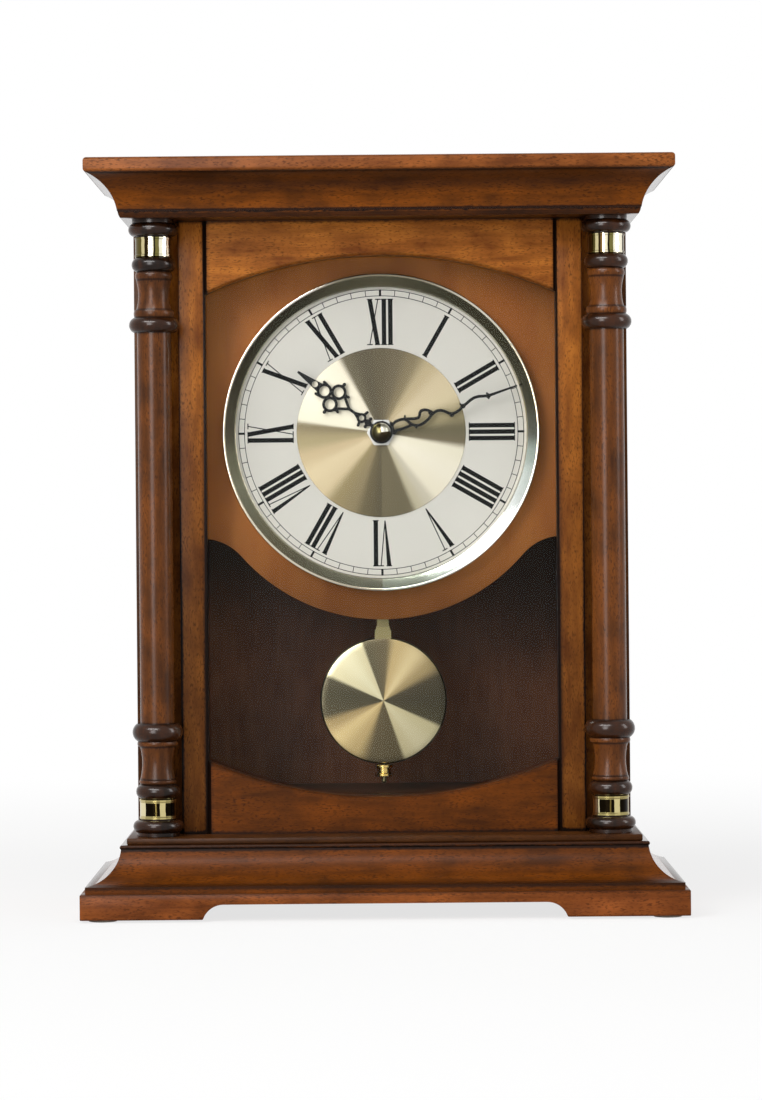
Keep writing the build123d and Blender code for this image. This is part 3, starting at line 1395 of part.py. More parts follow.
# Rear door
door_half_width = side_inner - door_side_gap
notch_reach = knuckle_radius + hinge_notch_clearance
with BuildPart() as back_door:
    slab((-door_half_width, door_half_width), (door_front, door_back),
         (floor_top - door_end_lap, ceiling_foot + door_end_lap))
    for z in (hinge_low, hinge_high):
        slab((hinge_x - notch_reach, door_half_width), (door_front, door_back),
             (z - hinge_half - hinge_notch_clearance,
              z + hinge_half + hinge_notch_clearance), mode=Mode.SUBTRACT)
        slab((hinge_x - leaf_reach, hinge_x), (door_back - leaf_thickness, door_back),
             (z - hinge_half, z + hinge_half), mode=Mode.SUBTRACT)
    for count in range(door_slot_count):
        z = dial_height + door_slots_rise + (count - (door_slot_count - 1) / 2) * door_slot_spacing
        for x in (-door_slot_x, door_slot_x):
            slab((x - door_slot_half_width, x + door_slot_half_width), (door_front, door_back),
                 (z - door_slot_half_height, z + door_slot_half_height), mode=Mode.SUBTRACT)
    rod("y", (-door_half_width, (floor_top + ceiling_foot) / 2), finger_notch_radius, (door_front,
                                                                                       door_back),
        mode=Mode.SUBTRACT)
save(back_door.part, "back_door")

strike_front = door_front - strike_thickness
with BuildPart() as case_hardware:
    for z in (hinge_low, hinge_high):
        for way in (-1, 1):
            middle = z + way * knuckle_pitch
            rod("z", (hinge_x, hinge_y), knuckle_radius, (middle - knuckle_length / 2,
                                                          middle + knuckle_length / 2))
            slab((hinge_x, side_inner), (hinge_y - knuckle_radius, hinge_y),
                 (middle - knuckle_length / 2, middle + knuckle_length / 2))
        slab((side_inner, side_inner + leaf_thickness), (hinge_y - leaf_reach, hinge_y + knuckle_radius),
             (z - hinge_half, z + hinge_half))
        rod("z", (hinge_x, hinge_y), hinge_pin_radius, (z - knuckle_pitch, z + knuckle_pitch))
    slab((-side_inner, -side_inner + catch_width), (strike_front - catch_depth, strike_front),
         (hinge_high - catch_half_height, hinge_high + catch_half_height))
save(case_hardware.part, "case_hardware")

with BuildPart() as door_hardware:
    for z in (hinge_low, hinge_high):
        rod("z", (hinge_x, hinge_y), knuckle_radius, (z - knuckle_length / 2, z + knuckle_length / 2))
        slab((hinge_x - leaf_reach, hinge_x - notch_reach), (door_back - leaf_thickness, door_back),
             (z - hinge_half, z + hinge_half))
        slab((hinge_x - notch_reach, hinge_x), (door_back - leaf_thickness, door_back),
             (z - knuckle_length / 2, z + knuckle_length / 2))
        rod("z", (hinge_x, hinge_y), hinge_pin_radius + running_clearance,
            (z - knuckle_length / 2, z + knuckle_length / 2), mode=Mode.SUBTRACT)
    slab((-side_inner + board_gap + catch_width, -side_inner + board_gap), (strike_front, door_front),
         (hinge_high - catch_half_height, hinge_high + catch_half_height))
save(door_hardware.part, "door_hardware")
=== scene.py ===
from math import atan2, cos, pi, radians, sin, sqrt

import bmesh
import bpy
from mathutils import Matrix, Vector


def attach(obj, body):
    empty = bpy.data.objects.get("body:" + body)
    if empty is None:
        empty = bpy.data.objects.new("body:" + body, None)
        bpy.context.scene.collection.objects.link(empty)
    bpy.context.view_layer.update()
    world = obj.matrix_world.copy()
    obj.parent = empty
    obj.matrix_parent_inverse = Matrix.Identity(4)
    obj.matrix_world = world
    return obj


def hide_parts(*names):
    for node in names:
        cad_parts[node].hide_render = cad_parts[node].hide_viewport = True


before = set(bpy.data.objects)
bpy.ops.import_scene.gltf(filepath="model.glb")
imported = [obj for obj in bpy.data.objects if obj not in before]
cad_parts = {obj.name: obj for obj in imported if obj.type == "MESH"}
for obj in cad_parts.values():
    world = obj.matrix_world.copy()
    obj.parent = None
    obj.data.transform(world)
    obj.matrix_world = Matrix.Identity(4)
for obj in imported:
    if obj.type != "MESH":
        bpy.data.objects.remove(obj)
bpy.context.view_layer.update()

# Camera
# It stands 1.6 m in front of the clock, half way up, and looks straight at the dial side.
# The photograph leans by half a degree, so the camera does too.
lens_height = 0.165
lean = radians(-0.5)
photo_height = 1100
camera_distance = 1.61
camera = bpy.data.objects.new("camera", bpy.data.cameras.new("camera"))
bpy.context.scene.collection.objects.link(camera)
camera.data.lens = 122.6
camera.data.sensor_width = 36.0
camera.data.shift_x = -1.0 / photo_height
camera.data.shift_y = -28.0 / photo_height
camera.data.clip_end = 30.0
camera.matrix_world = (Matrix.Translation((0, -camera_distance, lens_height))
                       @ Matrix.Rotation(pi / 2, 4, "X") @ Matrix.Rotation(lean, 4, "Z"))
bpy.context.scene.camera = camera
bpy.context.scene.view_settings.view_transform = "Standard"


# Studio
# Three soft boxes, at the left, at the right and overhead, in a white room with a pale floor.
# Three more lamps show only as highlights on varnish and metal.
class Shade:
    """One socket of a material; arithmetic on it adds Math nodes."""

    def __init__(self, tree, socket=None):
        self.tree = tree
        self.socket = socket

    def node(self, kind, settings, inputs, out=0):
        """Adds a node with its settings and its sockets' values or links, and gives one output."""
        made = self.tree.nodes.new(kind)
        for name, value in settings.items():
            if name == "stops":
                ramp = made.color_ramp
                while len(ramp.elements) < len(value):
                    ramp.elements.new(0.5)
                for element, (place, colour) in zip(ramp.elements, value):
                    element.position = place
                    element.color = colour
            elif name == "blending":
                made.color_ramp.interpolation = value
            else:
                setattr(made, name, value)
        for key, value in inputs.items():
            if isinstance(value, Shade):
                self.tree.links.new(value.socket, made.inputs[key])
            else:
                made.inputs[key].default_value = value
        return Shade(self.tree, made.outputs[out])

    def sum_with(self, operation, *others):
        """The result of a Math node on this value and others."""
        inputs = {count: other for count, other in enumerate((self, *others))}
        return self.node("ShaderNodeMath", {"operation": operation}, inputs)

    def __add__(self, other):
        return self.sum_with("ADD", other)

    def __radd__(self, other):
        return self.sum_with("ADD", other)

    def __sub__(self, other):
        return self.sum_with("SUBTRACT", other)

    def __rsub__(self, other):
        return (self * -1.0) + other

    def __mul__(self, other):
        return self.sum_with("MULTIPLY", other)

    def __rmul__(self, other):
        return self.sum_with("MULTIPLY", other)

    def __truediv__(self, other):
        return self.sum_with("DIVIDE", other)

    def __abs__(self):
        return self.sum_with("ABSOLUTE")

    def least(self, other):
        """The smaller of two values."""
        return self.sum_with("MINIMUM", other)

    def most(self, other):
        """The larger of two values."""
        return self.sum_with("MAXIMUM", other)

    def ease(self, low, high):
        """0 below low and 1 above high, with a soft change between them."""
        return self.node("ShaderNodeMapRange", {"interpolation_type": "SMOOTHSTEP", "clamp": True},
                         {"Value": self, "From Min": low, "From Max": high})

    def tint(self, factor, colour):
        """This colour, changed towards another by a factor."""
        return self.node("ShaderNodeMix", {"data_type": "RGBA"}, {0: factor, 6: self, 7: colour}, 2)

    def between(self, low, high):
        """The mix of two colours of which this is the share."""
        return self.node("ShaderNodeMix", {"data_type": "RGBA"}, {0: self, 6: low, 7: high}, 2)

    def noise(self, scale, detail=2.0):
        """Noise at this place."""
        return self.node("ShaderNodeTexNoise", {}, {"Vector": self, "Scale": scale, "Detail": detail})

    def bump(self, strength, depth=0.0001):
        """The normal of a surface with this relief."""
        return self.node("ShaderNodeBump", {}, {"Height": self, "Strength": strength, "Distance": depth})

    def axes(self):
        """X, Y and Z of this place."""
        parts = self.node("ShaderNodeSeparateXYZ", {}, {"Vector": self}).socket.node.outputs
        return [Shade(self.tree, part) for part in parts]


def colour_of(code):
    """A colour as it looks on screen, such as 8c5124, as the linear values that Blender wants."""
    parts = [int(code[start:start + 2], 16) / 255 for start in (0, 2, 4)]
    return (*[part / 12.92 if part < 0.04045 else ((part + 0.055) / 1.055) ** 2.4 for part in parts], 1.0)


def new_finish(name, constants):
    """A material with its shader's constant sockets set, the place on the object, and the shader."""
    material = bpy.data.materials.new(name)
    material.use_nodes = True
    shader = material.node_tree.nodes["Principled BSDF"]
    for key, value in constants.items():
        shader.inputs[key].default_value = value
    place = Shade(material.node_tree).node("ShaderNodeTexCoord", {}, {}, "Object")
    return material, place, shader


def wire(shader, **links):
    """Feeds the shader's varying sockets."""
    for key, value in links.items():
        shader.id_data.links.new(value.socket, shader.inputs[key.replace("_", " ")])


def soft_box(name, place, aim, width, height, power, mirrored):
    """A soft light; a mirrored one shows only in reflections."""
    light = bpy.data.lights.new(name, "AREA")
    light.shape = "RECTANGLE"
    light.size = width
    light.size_y = height
    light.energy = power
    lamp = bpy.data.objects.new(name, light)
    bpy.context.scene.collection.objects.link(lamp)
    lamp.location = place
    lamp.rotation_euler = (Vector(place) - Vector(aim)).to_track_quat("Z", "Y").to_euler()
    lamp.visible_glossy = mirrored
    lamp.visible_diffuse = not mirrored


clock_middle = (0, 0, 0.17)
soft_box("key_box", (-1.15, -1.35, 1.05), clock_middle, 1.0, 1.0, 24.0, False)
soft_box("fill_box", (1.35, -1.2, 0.5), clock_middle, 0.6, 0.9, 6.0, False)
soft_box("top_box", (0.0, -0.9, 1.5), clock_middle, 1.3, 0.7, 6.0, False)
soft_box("left_gleam", (-0.62, -1.55, 0.5), clock_middle, 0.6, 1.0, 24.0, True)
soft_box("high_gleam", (-0.55, -1.15, 1.2), clock_middle, 1.4, 0.3, 34.0, True)
soft_box("right_gleam", (1.6, -0.45, 0.7), clock_middle, 0.45, 1.1, 16.0, True)


def seen_directly(shade):
    """1 for rays from the camera, off a gloss or through glass, and 0 for soft light."""
    path = shade.node("ShaderNodeLightPath", {}, {})
    rays = [Shade(shade.tree, path.socket.node.outputs[name])
            for name in ("Is Camera Ray", "Is Glossy Ray", "Is Transmission Ray")]
    return (rays[0] + rays[1] + rays[2]).least(1.0)


world = bpy.context.scene.world or bpy.data.worlds.new("studio")
bpy.context.scene.world = world
world.use_nodes = True
room_level = 0.35
backdrop = world.node_tree.nodes["Background"]
backdrop.inputs["Color"].default_value = (1, 1, 1, 1)
level = seen_directly(Shade(world.node_tree)) * (1.0 - room_level) + room_level
world.node_tree.links.new(level.socket, backdrop.inputs["Strength"])

floor_bm = bmesh.new()
bmesh.ops.create_grid(floor_bm, x_segments=1, y_segments=1, size=4.0)
floor_mesh = bpy.data.meshes.new("floor")
floor_bm.to_mesh(floor_mesh)
floor = bpy.data.objects.new("floor", floor_mesh)
bpy.context.scene.collection.objects.link(floor)
floor_finish, place, shader = new_finish("floor_paper", {"Roughness": 1.0, "Specular IOR Level": 0.0})
wire(shader, Base_Color=place.noise(3.0).ease(0.3, 0.7).between(colour_of("fafaf9"), colour_of("fdfdfc")))
away = place.node("ShaderNodeVectorMath", {"operation": "LENGTH"}, {0: place}, 1)
share = seen_directly(place) * (away.ease(0.15, 0.9) * 0.25 + 0.75)
paper = Shade(place.tree, shader.outputs[0])
glow = place.node("ShaderNodeEmission", {}, {"Color": (1, 1, 1, 1), "Strength": 1.0})
floor_look = place.node("ShaderNodeMixShader", {}, {0: share, 1: paper, 2: glow})
wire(place.tree.nodes["Material Output"], Surface=floor_look)
floor.data.materials.append(floor_finish)


# Felt pads
# Four round pads of grey felt under the corners, stuck to the plinth.
def eased_copy(node, radius):
    """A node's mesh in millimetres, merged, with its sharp edges rounded."""
    bm = bmesh.new()
    bm.from_mesh(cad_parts[node].data)
    bmesh.ops.scale(bm, vec=(1000, 1000, 1000), verts=bm.verts)
    bmesh.ops.remove_doubles(bm, verts=bm.verts, dist=0.002)
    bmesh.ops.dissolve_limit(bm, angle_limit=radians(1), verts=bm.verts, edges=bm.edges)
    sharp = [edge for edge in bm.edges if edge.is_manifold and edge.calc_face_angle() > radians(35)]
    bmesh.ops.bevel(bm, geom=sharp, offset=radius, segments=2, profile=0.5, affect="EDGES", material=-1,
                    clamp_overlap=True)
    return bm


def settle(name, bm, body, nodes, slot, *finishes):
    """Makes the finished piece of a mesh in millimetres and lets it ride on its body."""
    bmesh.ops.remove_doubles(bm, verts=bm.verts, dist=0.002)
    bmesh.ops.recalc_face_normals(bm, faces=bm.faces)
    bmesh.ops.scale(bm, vec=(0.001, 0.001, 0.001), verts=bm.verts)
    mesh = bpy.data.meshes.new(name)
    bm.to_mesh(mesh)
    bm.free()
    mesh.shade_smooth()
    mesh.set_sharp_from_angle(angle=radians(30))
    piece = bpy.data.objects.new(name, mesh)
    bpy.context.scene.collection.objects.link(piece)
    for finish in finishes:
        mesh.materials.append(finish)
    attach(piece, body)
    if nodes:
        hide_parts(*nodes)


def dress(node, finish):
    """Gives a CAD node that stays its finish."""
    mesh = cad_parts[node].data
    mesh.materials.clear()
    mesh.materials.append(finish)


felt, place, shader = new_finish("pad_felt", {"Roughness": 1.0, "Sheen Weight": 0.4})
fibres = place.noise(2500.0, 3.0)
wire(shader, Base_Color=fibres.between(colour_of("a19c90"), colour_of("c4c0b6")),
     Normal=fibres.bump(0.6, 0.0003))
settle("felt_corner_pads", eased_copy("felt_pads", 0.25), "case", ["felt_pads"], "felt", felt)


# Wood
# Stained hardwood with dark flecks along the grain, dark glaze in the joints, painted shade under the
# mouldings and in recesses, and a satin varnish. The same stain is on every board, so one function makes each
# board's.
# One dark colour for the flecks, the glaze in the joints and the painted shade.
glaze_and_shade = colour_of("160b06")


def stained_wood(name, grain, warm, deep, glaze_and_shade_at=None, flecks=0.55, gloss=1.12, smooth=0.3, relief=0.2,
                 shift=0.0):
    """Wood whose grain runs along one axis; an optional function gives the share of dark joint colour and
    painted shade at each place.
    """
    material, place, shader = new_finish(name, {"Specular IOR Level": 0.03, "Coat Weight": 1.0,
                                                "Coat Roughness": smooth, "Coat IOR": gloss})

    def drawn(share, scale, detail):
        """Noise that is drawn out along the grain."""
        along = [share if axis == grain else 1.0 for axis in "xyz"]
        there = place.node("ShaderNodeMapping", {}, {"Vector": place, "Scale": along,
                                                     "Location": (shift,) * 3})
        return there.noise(scale, detail)

    bands, streaks, pores = drawn(0.16, 75.0, 3.0), drawn(0.16, 380.0, 3.0), drawn(0.32, 1700.0, 2.0)
    clouds = place.noise(60.0, 3.0)
    tone = ((bands - 0.5) * 1.5 + (streaks - 0.5) * 1.4 + (clouds - 0.5) * 1.6 + 0.5).most(0.0).least(1.0)
    body = tone.between(deep, warm)
    specks = pores.ease(0.50, 0.66) * (streaks.ease(0.42, 0.60) * 0.6 + 0.4)
    body = body.tint(specks * flecks, glaze_and_shade)
    # Darkened by place: dark joints, and painted shade under mouldings, in creases and in recesses.
    if glaze_and_shade_at:
        rough_edge = (pores - 0.5) * 0.8 + (clouds - 0.5) * 0.8
        body = body.tint(glaze_and_shade_at(*place.axes(), rough_edge).least(1.0).most(0.0), glaze_and_shade)
    height = streaks * 0.5 - specks
    wire(shader, Base_Color=body, Roughness=specks * 0.2 + 0.5, Normal=height.bump(relief))
    return material


warm_stain, deep_stain = colour_of("b96f26"), colour_of("733c0e")


# Plinth
# A shallow box of solid wood: the front board has a low bracket cut-out, the side boards butt against it.
# Painted shade lies along the top edge, under the moulding, and along the foot.
def plinth_painted_shade(x, y, z, rough):
    """Painted shade at the head, under the moulding, and at the foot."""
    head = (z + rough * 0.0016).ease(0.0100, 0.0117) * 0.6
    foot = (0.0022 - z + rough * 0.001).ease(0.0, 0.0012) * 0.5
    return head + foot


plinth_front_wood = stained_wood("plinth_front_wood", "x", colour_of("935022"), colour_of("5e3012"),
                                 glaze_and_shade_at=plinth_painted_shade)
plinth_side_wood = stained_wood("plinth_side_wood", "y", warm_stain, deep_stain, glaze_and_shade_at=plinth_painted_shade)
settle("plinth_front_board", eased_copy("plinth_front", 0.4), "case", ["plinth_front"], "case_wood",
       plinth_front_wood)
settle("plinth_side_boards", eased_copy("plinth_sides", 0.4), "case", ["plinth_sides"], "case_wood",
       plinth_side_wood)
settle("rear_rails", eased_copy("back_rails", 0.3), "case", ["back_rails"], "case_wood", plinth_front_wood)


# Base moulding
# A mitred moulding with a fillet, a deep cove and a rounded lip, glued on the plinth.
# Its section is given as inset from the plinth's faces and height, in millimetres.
half_width, front_face, back_face = 126.5, -60.5, 60.5


def arc_through(start, middle, stop, count):
    """Points on the arc through three points, without the first."""
    (ax, ay), (bx, by), (cx, cy) = start, middle, stop
    across = 2 * (ax * (by - cy) + bx * (cy - ay) + cx * (ay - by))
    a, b, c = ax * ax + ay * ay, bx * bx + by * by, cx * cx + cy * cy
    ux = (a * (by - cy) + b * (cy - ay) + c * (ay - by)) / across
    uy = (a * (cx - bx) + b * (ax - cx) + c * (bx - ax)) / across
    reach = sqrt((ax - ux) ** 2 + (ay - uy) ** 2)
    first = atan2(ay - uy, ax - ux)
    half = (atan2(by - uy, bx - ux) - first + pi) % (2 * pi) - pi
    second = (atan2(cy - uy, cx - ux) - atan2(by - uy, bx - ux) + pi) % (2 * pi) - pi
    return [(ux + reach * cos(first + (half + second) * step / count),
             uy + reach * sin(first + (half + second) * step / count)) for step in range(1, count + 1)]


def bowed(start, stop, depth, count):
    """An arc from start to stop whose middle lies off the straight line by the depth."""
    run, rise = stop[0] - start[0], stop[1] - start[1]
    reach = sqrt(run ** 2 + rise ** 2)
    middle = ((start[0] + stop[0]) / 2 + depth * rise / reach,
              (start[1] + stop[1]) / 2 - depth * run / reach)
    return arc_through(start, middle, stop, count)


def mitred_run(section):
    """A closed section carried along the left side, the front and the right side."""
    bm = bmesh.new()
    ring = [bm.verts.new((inset - half_width, back_face, height)) for inset, height in section]
    edges = [bm.edges.new((ring[count], ring[(count + 1) % len(ring)])) for count in range(len(ring))]
    first = bm.faces.new(ring)
    stations = (lambda inset: (inset - half_width, front_face + inset),
                lambda inset: (half_width - inset, front_face + inset),
                lambda inset: (half_width - inset, back_face))
    for count, station in enumerate(stations):
        made = bmesh.ops.extrude_edge_only(bm, edges=edges)["geom"]
        moved = [part for part in made if isinstance(part, bmesh.types.BMVert)]
        edges = [part for part in made if isinstance(part, bmesh.types.BMEdge)]
        for part in made:
            if isinstance(part, bmesh.types.BMFace):
                part.material_index = 0 if count == 1 else 1
        for vert in moved:
            vert.co.x, vert.co.y = station(half_width - abs(vert.co.x))
        edges = [edge for edge in edges if edge.verts[0] in moved and edge.verts[1] in moved]
    last = bmesh.ops.holes_fill(bm, edges=edges, sides=len(ring))["faces"]
    for face in [first, *last]:
        face.material_index = 1
    return bm


base_foot, base_head, base_inner, fillet_face = 11.6, 30.7, 26.5, 2.1
fillet_top, lip_foot, lip_top = (2.5, 14.6), (16.2, 29.0), (16.2, base_head)
base_section = [(base_inner, base_foot), (fillet_face, base_foot), (fillet_face, 14.6), fillet_top,
                *bowed(fillet_top, lip_foot, 3.4, 20), *bowed(lip_foot, lip_top, -0.5, 6),
                (base_inner, base_head)]


def base_painted_shade(x, y, z, rough):
    """Painted shade in the creases at the fillet's top and the lip, and on the lip's top under the base
    board.
    """
    step = (abs(z - 0.0143) * -1 + 0.0016 + rough * 0.0012).ease(0.0, 0.0012) * 0.75
    lip = (abs(z - 0.0287) * -1 + 0.0012 + rough * 0.0006).ease(0.0, 0.0009) * 0.9
    return step + lip + (z + rough * 0.002).ease(0.0286, 0.0300) * 0.75


base_warm, base_deep = colour_of("743a05"), colour_of("452102")
base_front_wood = stained_wood("base_front_wood", "x", base_warm, base_deep, glaze_and_shade_at=base_painted_shade)
base_side_wood = stained_wood("base_side_wood", "y", base_warm, base_deep, glaze_and_shade_at=base_painted_shade, gloss=1.35,
                              smooth=0.15)
settle("base_cove_moulding", mitred_run(base_section), "case", ["base_moulding"], "case_wood",
       base_front_wood, base_side_wood)
board_wood = stained_wood("base_board_wood", "x", colour_of("502d10"), colour_of("321a08"))
settle("base_top_board", eased_copy("base_board", 0.5), "case", ["base_board"], "case_wood", board_wood)


# Case sides and boards
# Solid side panels with the grain upright. A floor, a ceiling board and two cleats are fixed between them.
foot_level, head_level = 33.4, 293.2
frame_middle = (foot_level + head_level) / 2000


def panel_painted_shade(x, y, z, rough):
    """Painted shade at both ends and along the front edge behind the columns."""
    ends = (abs(z - frame_middle) + rough * 0.004).ease(0.1255, 0.1300) * 0.6
    front = (-1 * y + rough * 0.002 - 0.0135).ease(0.0, 0.0042)
    return ends + front * ((abs(x) - 0.097).ease(0.0, 0.003) * 0.7 + 0.1)


panel_wood = stained_wood("panel_wood", "z", warm_stain, deep_stain, glaze_and_shade_at=panel_painted_shade, shift=0.3)
inner_wood = stained_wood("inner_wood", "x", colour_of("4a2d1b"), colour_of("33200f"), flecks=0.2,
                          relief=0.0)
settle("side_panel_pair", eased_copy("side_panels", 0.5), "case", ["side_panels"], "case_wood", panel_wood)
settle("inner_boards", eased_copy("case_boards", 0.3), "case", ["case_boards"], "back_board", inner_wood)


# Front frame
# Two stiles and two arched rails of solid wood with V-grooves where they meet, filled with dark glaze.
# The glass lies behind them under six small spring clips.
rail_half, rail_back, rail_thickness, rail_chamfer = 74.25, -13.0, 10.0, 0.95
upper_crown, upper_end, lower_crown, lower_end = 278.2, 262.1, 48.6, 64.3


def groove(x, rough):
    """Dark along the joint between a stile and a rail."""
    return (abs(abs(x) - rail_half / 1000) * -1 + 0.00115 + rough * 0.0004).ease(0.0, 0.0007)


def stile_glaze_and_shade(x, y, z, rough):
    """Dark along the joints; painted shade at the ends, at the outer corner by the column and beside the
    joints, more so low down and on the left.
    """
    ends = (abs(z - frame_middle) + rough * 0.002).ease(0.1280, 0.1299) * 0.9
    outer = (abs(x) + rough * 0.0012).ease(0.0842, 0.0857) * (-1 * y - 0.0195).ease(0.0, 0.002) * 0.6
    shadow = (abs(abs(x) - 0.0745) * -1 + 0.0022 + rough * 0.0012).ease(0.0, 0.0018) * 0.35
    # The last term is painted shade that grows lower down and on the left stile.
    return groove(x, rough) * 0.95 + ends + outer + shadow + (0.30 - z).ease(0.0, 0.2) * (0.60 - x)


def rail_glaze_and_shade(x, y, z, rough):
    """Dark at the arched edge, which is followed by a parabola, and along the joints; painted shade at the
    ends and beside the joints.
    """
    upper = z - (upper_crown / 1000 - x * x * 2.86)
    lower = (lower_crown / 1000 + x * x * 2.78) - z
    inwards = upper.least(lower * -1).most(lower.least(upper * -1))
    edge = (inwards * -1 + 0.0022 + rough * 0.0022).ease(0.0, 0.0028) * 0.6
    ends = (abs(z - frame_middle) + rough * 0.002).ease(0.1280, 0.1299) * 0.9
    # Painted shade beside the joints.
    near = (abs(abs(x) - 0.0740) * -1 + 0.0022 + rough * 0.0012).ease(0.0, 0.0018) * 0.35
    return groove(x, rough) * 0.95 + edge + ends + near


stile_wood = stained_wood("stile_wood", "z", warm_stain, deep_stain, glaze_and_shade_at=stile_glaze_and_shade)
upper_rail_wood = stained_wood("upper_rail_wood", "x", warm_stain, deep_stain, glaze_and_shade_at=rail_glaze_and_shade)
lower_rail_wood = stained_wood("lower_rail_wood", "x", base_warm, base_deep, glaze_and_shade_at=rail_glaze_and_shade, shift=0.4)
settle("frame_stiles", eased_copy("front_stiles", 0.3), "case", ["front_stiles"], "case_wood", stile_wood)


def arched_rail(straight, edge_height):
    """A rail between a straight edge and an arched one, with its front edges chamfered."""
    bm = bmesh.new()
    bmesh.ops.create_grid(bm, x_segments=48, y_segments=1, size=rail_half,
                          matrix=Matrix.Translation((0, rail_back, 0)) @ Matrix.Rotation(pi / 2, 4, "X"))
    for vert in bm.verts:
        outer = (vert.co.z > 0) == (straight > edge_height(0))
        vert.co.z = straight if outer else edge_height(vert.co.x)
    made = bmesh.ops.extrude_face_region(bm, geom=bm.faces[:])["geom"]
    bmesh.ops.translate(bm, vec=(0, -rail_thickness, 0),
                        verts=[part for part in made if isinstance(part, bmesh.types.BMVert)])
    bmesh.ops.recalc_face_normals(bm, faces=bm.faces)
    bmesh.ops.dissolve_limit(bm, angle_limit=radians(0.3), verts=bm.verts, edges=bm.edges)
    front = [edge for edge in bm.edges if edge.calc_face_angle(0) > radians(35)
             and all(vert.co.y < rail_back - rail_thickness + 1 for vert in edge.verts)
             and abs(sum(vert.co.z for vert in edge.verts) / 2 - straight) > 1]
    bmesh.ops.bevel(bm, geom=front, offset=rail_chamfer, segments=1, profile=0.5, affect="EDGES", material=-1,
                    clamp_overlap=True)
    return bm


def arch_height(crown, end):
    """The height over each x of an arc with one height in the middle and another at the ends."""
    sag = crown - end
    radius = (rail_half ** 2 + sag ** 2) / (2 * sag)
    way = 1 if radius > 0 else -1
    return lambda x: crown - radius + way * sqrt(radius ** 2 - x ** 2)


settle("upper_arched_rail", arched_rail(head_level, arch_height(upper_crown, upper_end)), "case",
       ["upper_arch_rail"], "case_wood", upper_rail_wood)
settle("lower_arched_rail", arched_rail(foot_level, arch_height(lower_crown, lower_end)), "case",
       ["lower_arch_rail"], "case_wood", lower_rail_wood)

pane, place, shader = new_finish("clear_pane", {"Roughness": 0.02, "Metallic": 1.0})
film = place.noise(9.0)
mirror = place.node("ShaderNodeFresnel", {}, {"IOR": 1.45})
wire(shader, Base_Color=film.between(colour_of("c8d6d0"), colour_of("dbe6e1")),
     Alpha=(mirror - 0.034) * 0.6 + 0.006)
dress("glass_pane", pane)


# Columns
# Turned columns of the same wood, stained darker and polished; beads and rings are nearly black.
# Each has a brass band at its foot and at its head, and stands on the base board.
def spun(bm, points, middle, axis, sides, slot):
    """Turns a run of points about an axis; the new faces get one of the piece's finishes."""
    verts = [bm.verts.new(point) for point in points]
    edges = [bm.edges.new(pair) for pair in zip(verts, verts[1:])]
    known = set(bm.faces)
    bmesh.ops.spin(bm, geom=verts + edges, cent=middle, axis=axis, angle=2 * pi, steps=sides,
                   use_merge=True)
    for face in set(bm.faces) - known:
        face.material_index = slot


def turned(bm, centre, profile, sides=64, slot=0):
    """Turns a profile of (radius, height) about an upright axis."""
    spun(bm, [(centre[0] + radius, centre[1], height) for radius, height in profile],
         (*centre, 0), (0, 0, 1), sides, slot)


def swelling(radius, middle, start, stop, count=10):
    """A bead or hollow between two heights; its ends have one radius and its middle another."""
    return [(radius, start),
            *arc_through((radius, start), (middle, (start + stop) / 2), (radius, stop), count)]


column_x, column_y = 95.4, -29.39
tenon, core, shaft, groove_radius, foot_radius = 5.0, 5.05, 7.2, 7.3, 9.0
ring_side, ring_radius, bead_radius, small_bead_radius = 8.7, 10.6, 9.3, 7.9
fillet_side, fillet_radius, vase_end, vase_waist = 8.2, 8.6, 7.5, 6.6
low_band, high_band = 40.6, 277.3
member_feet = (49.2, 55.3, 57.4, 71.2, 73.6, 80.9, 245.7, 251.9, 255.2, 267.8, 271.2)
(low_bead, low_small_bead, low_vase, low_fillet, low_ring, shaft_foot,
 high_ring, high_fillet, high_vase, high_small_bead, high_bead) = member_feet


def crease_shade(x, y, z, rough):
    """Painted shade in the creases between the turned members."""
    hollows = [(abs(z - height / 1000) * -1 + 0.0008).ease(0.0, 0.0007) for height in member_feet[1:]]
    return sum(hollows[1:], hollows[0]) * 0.7


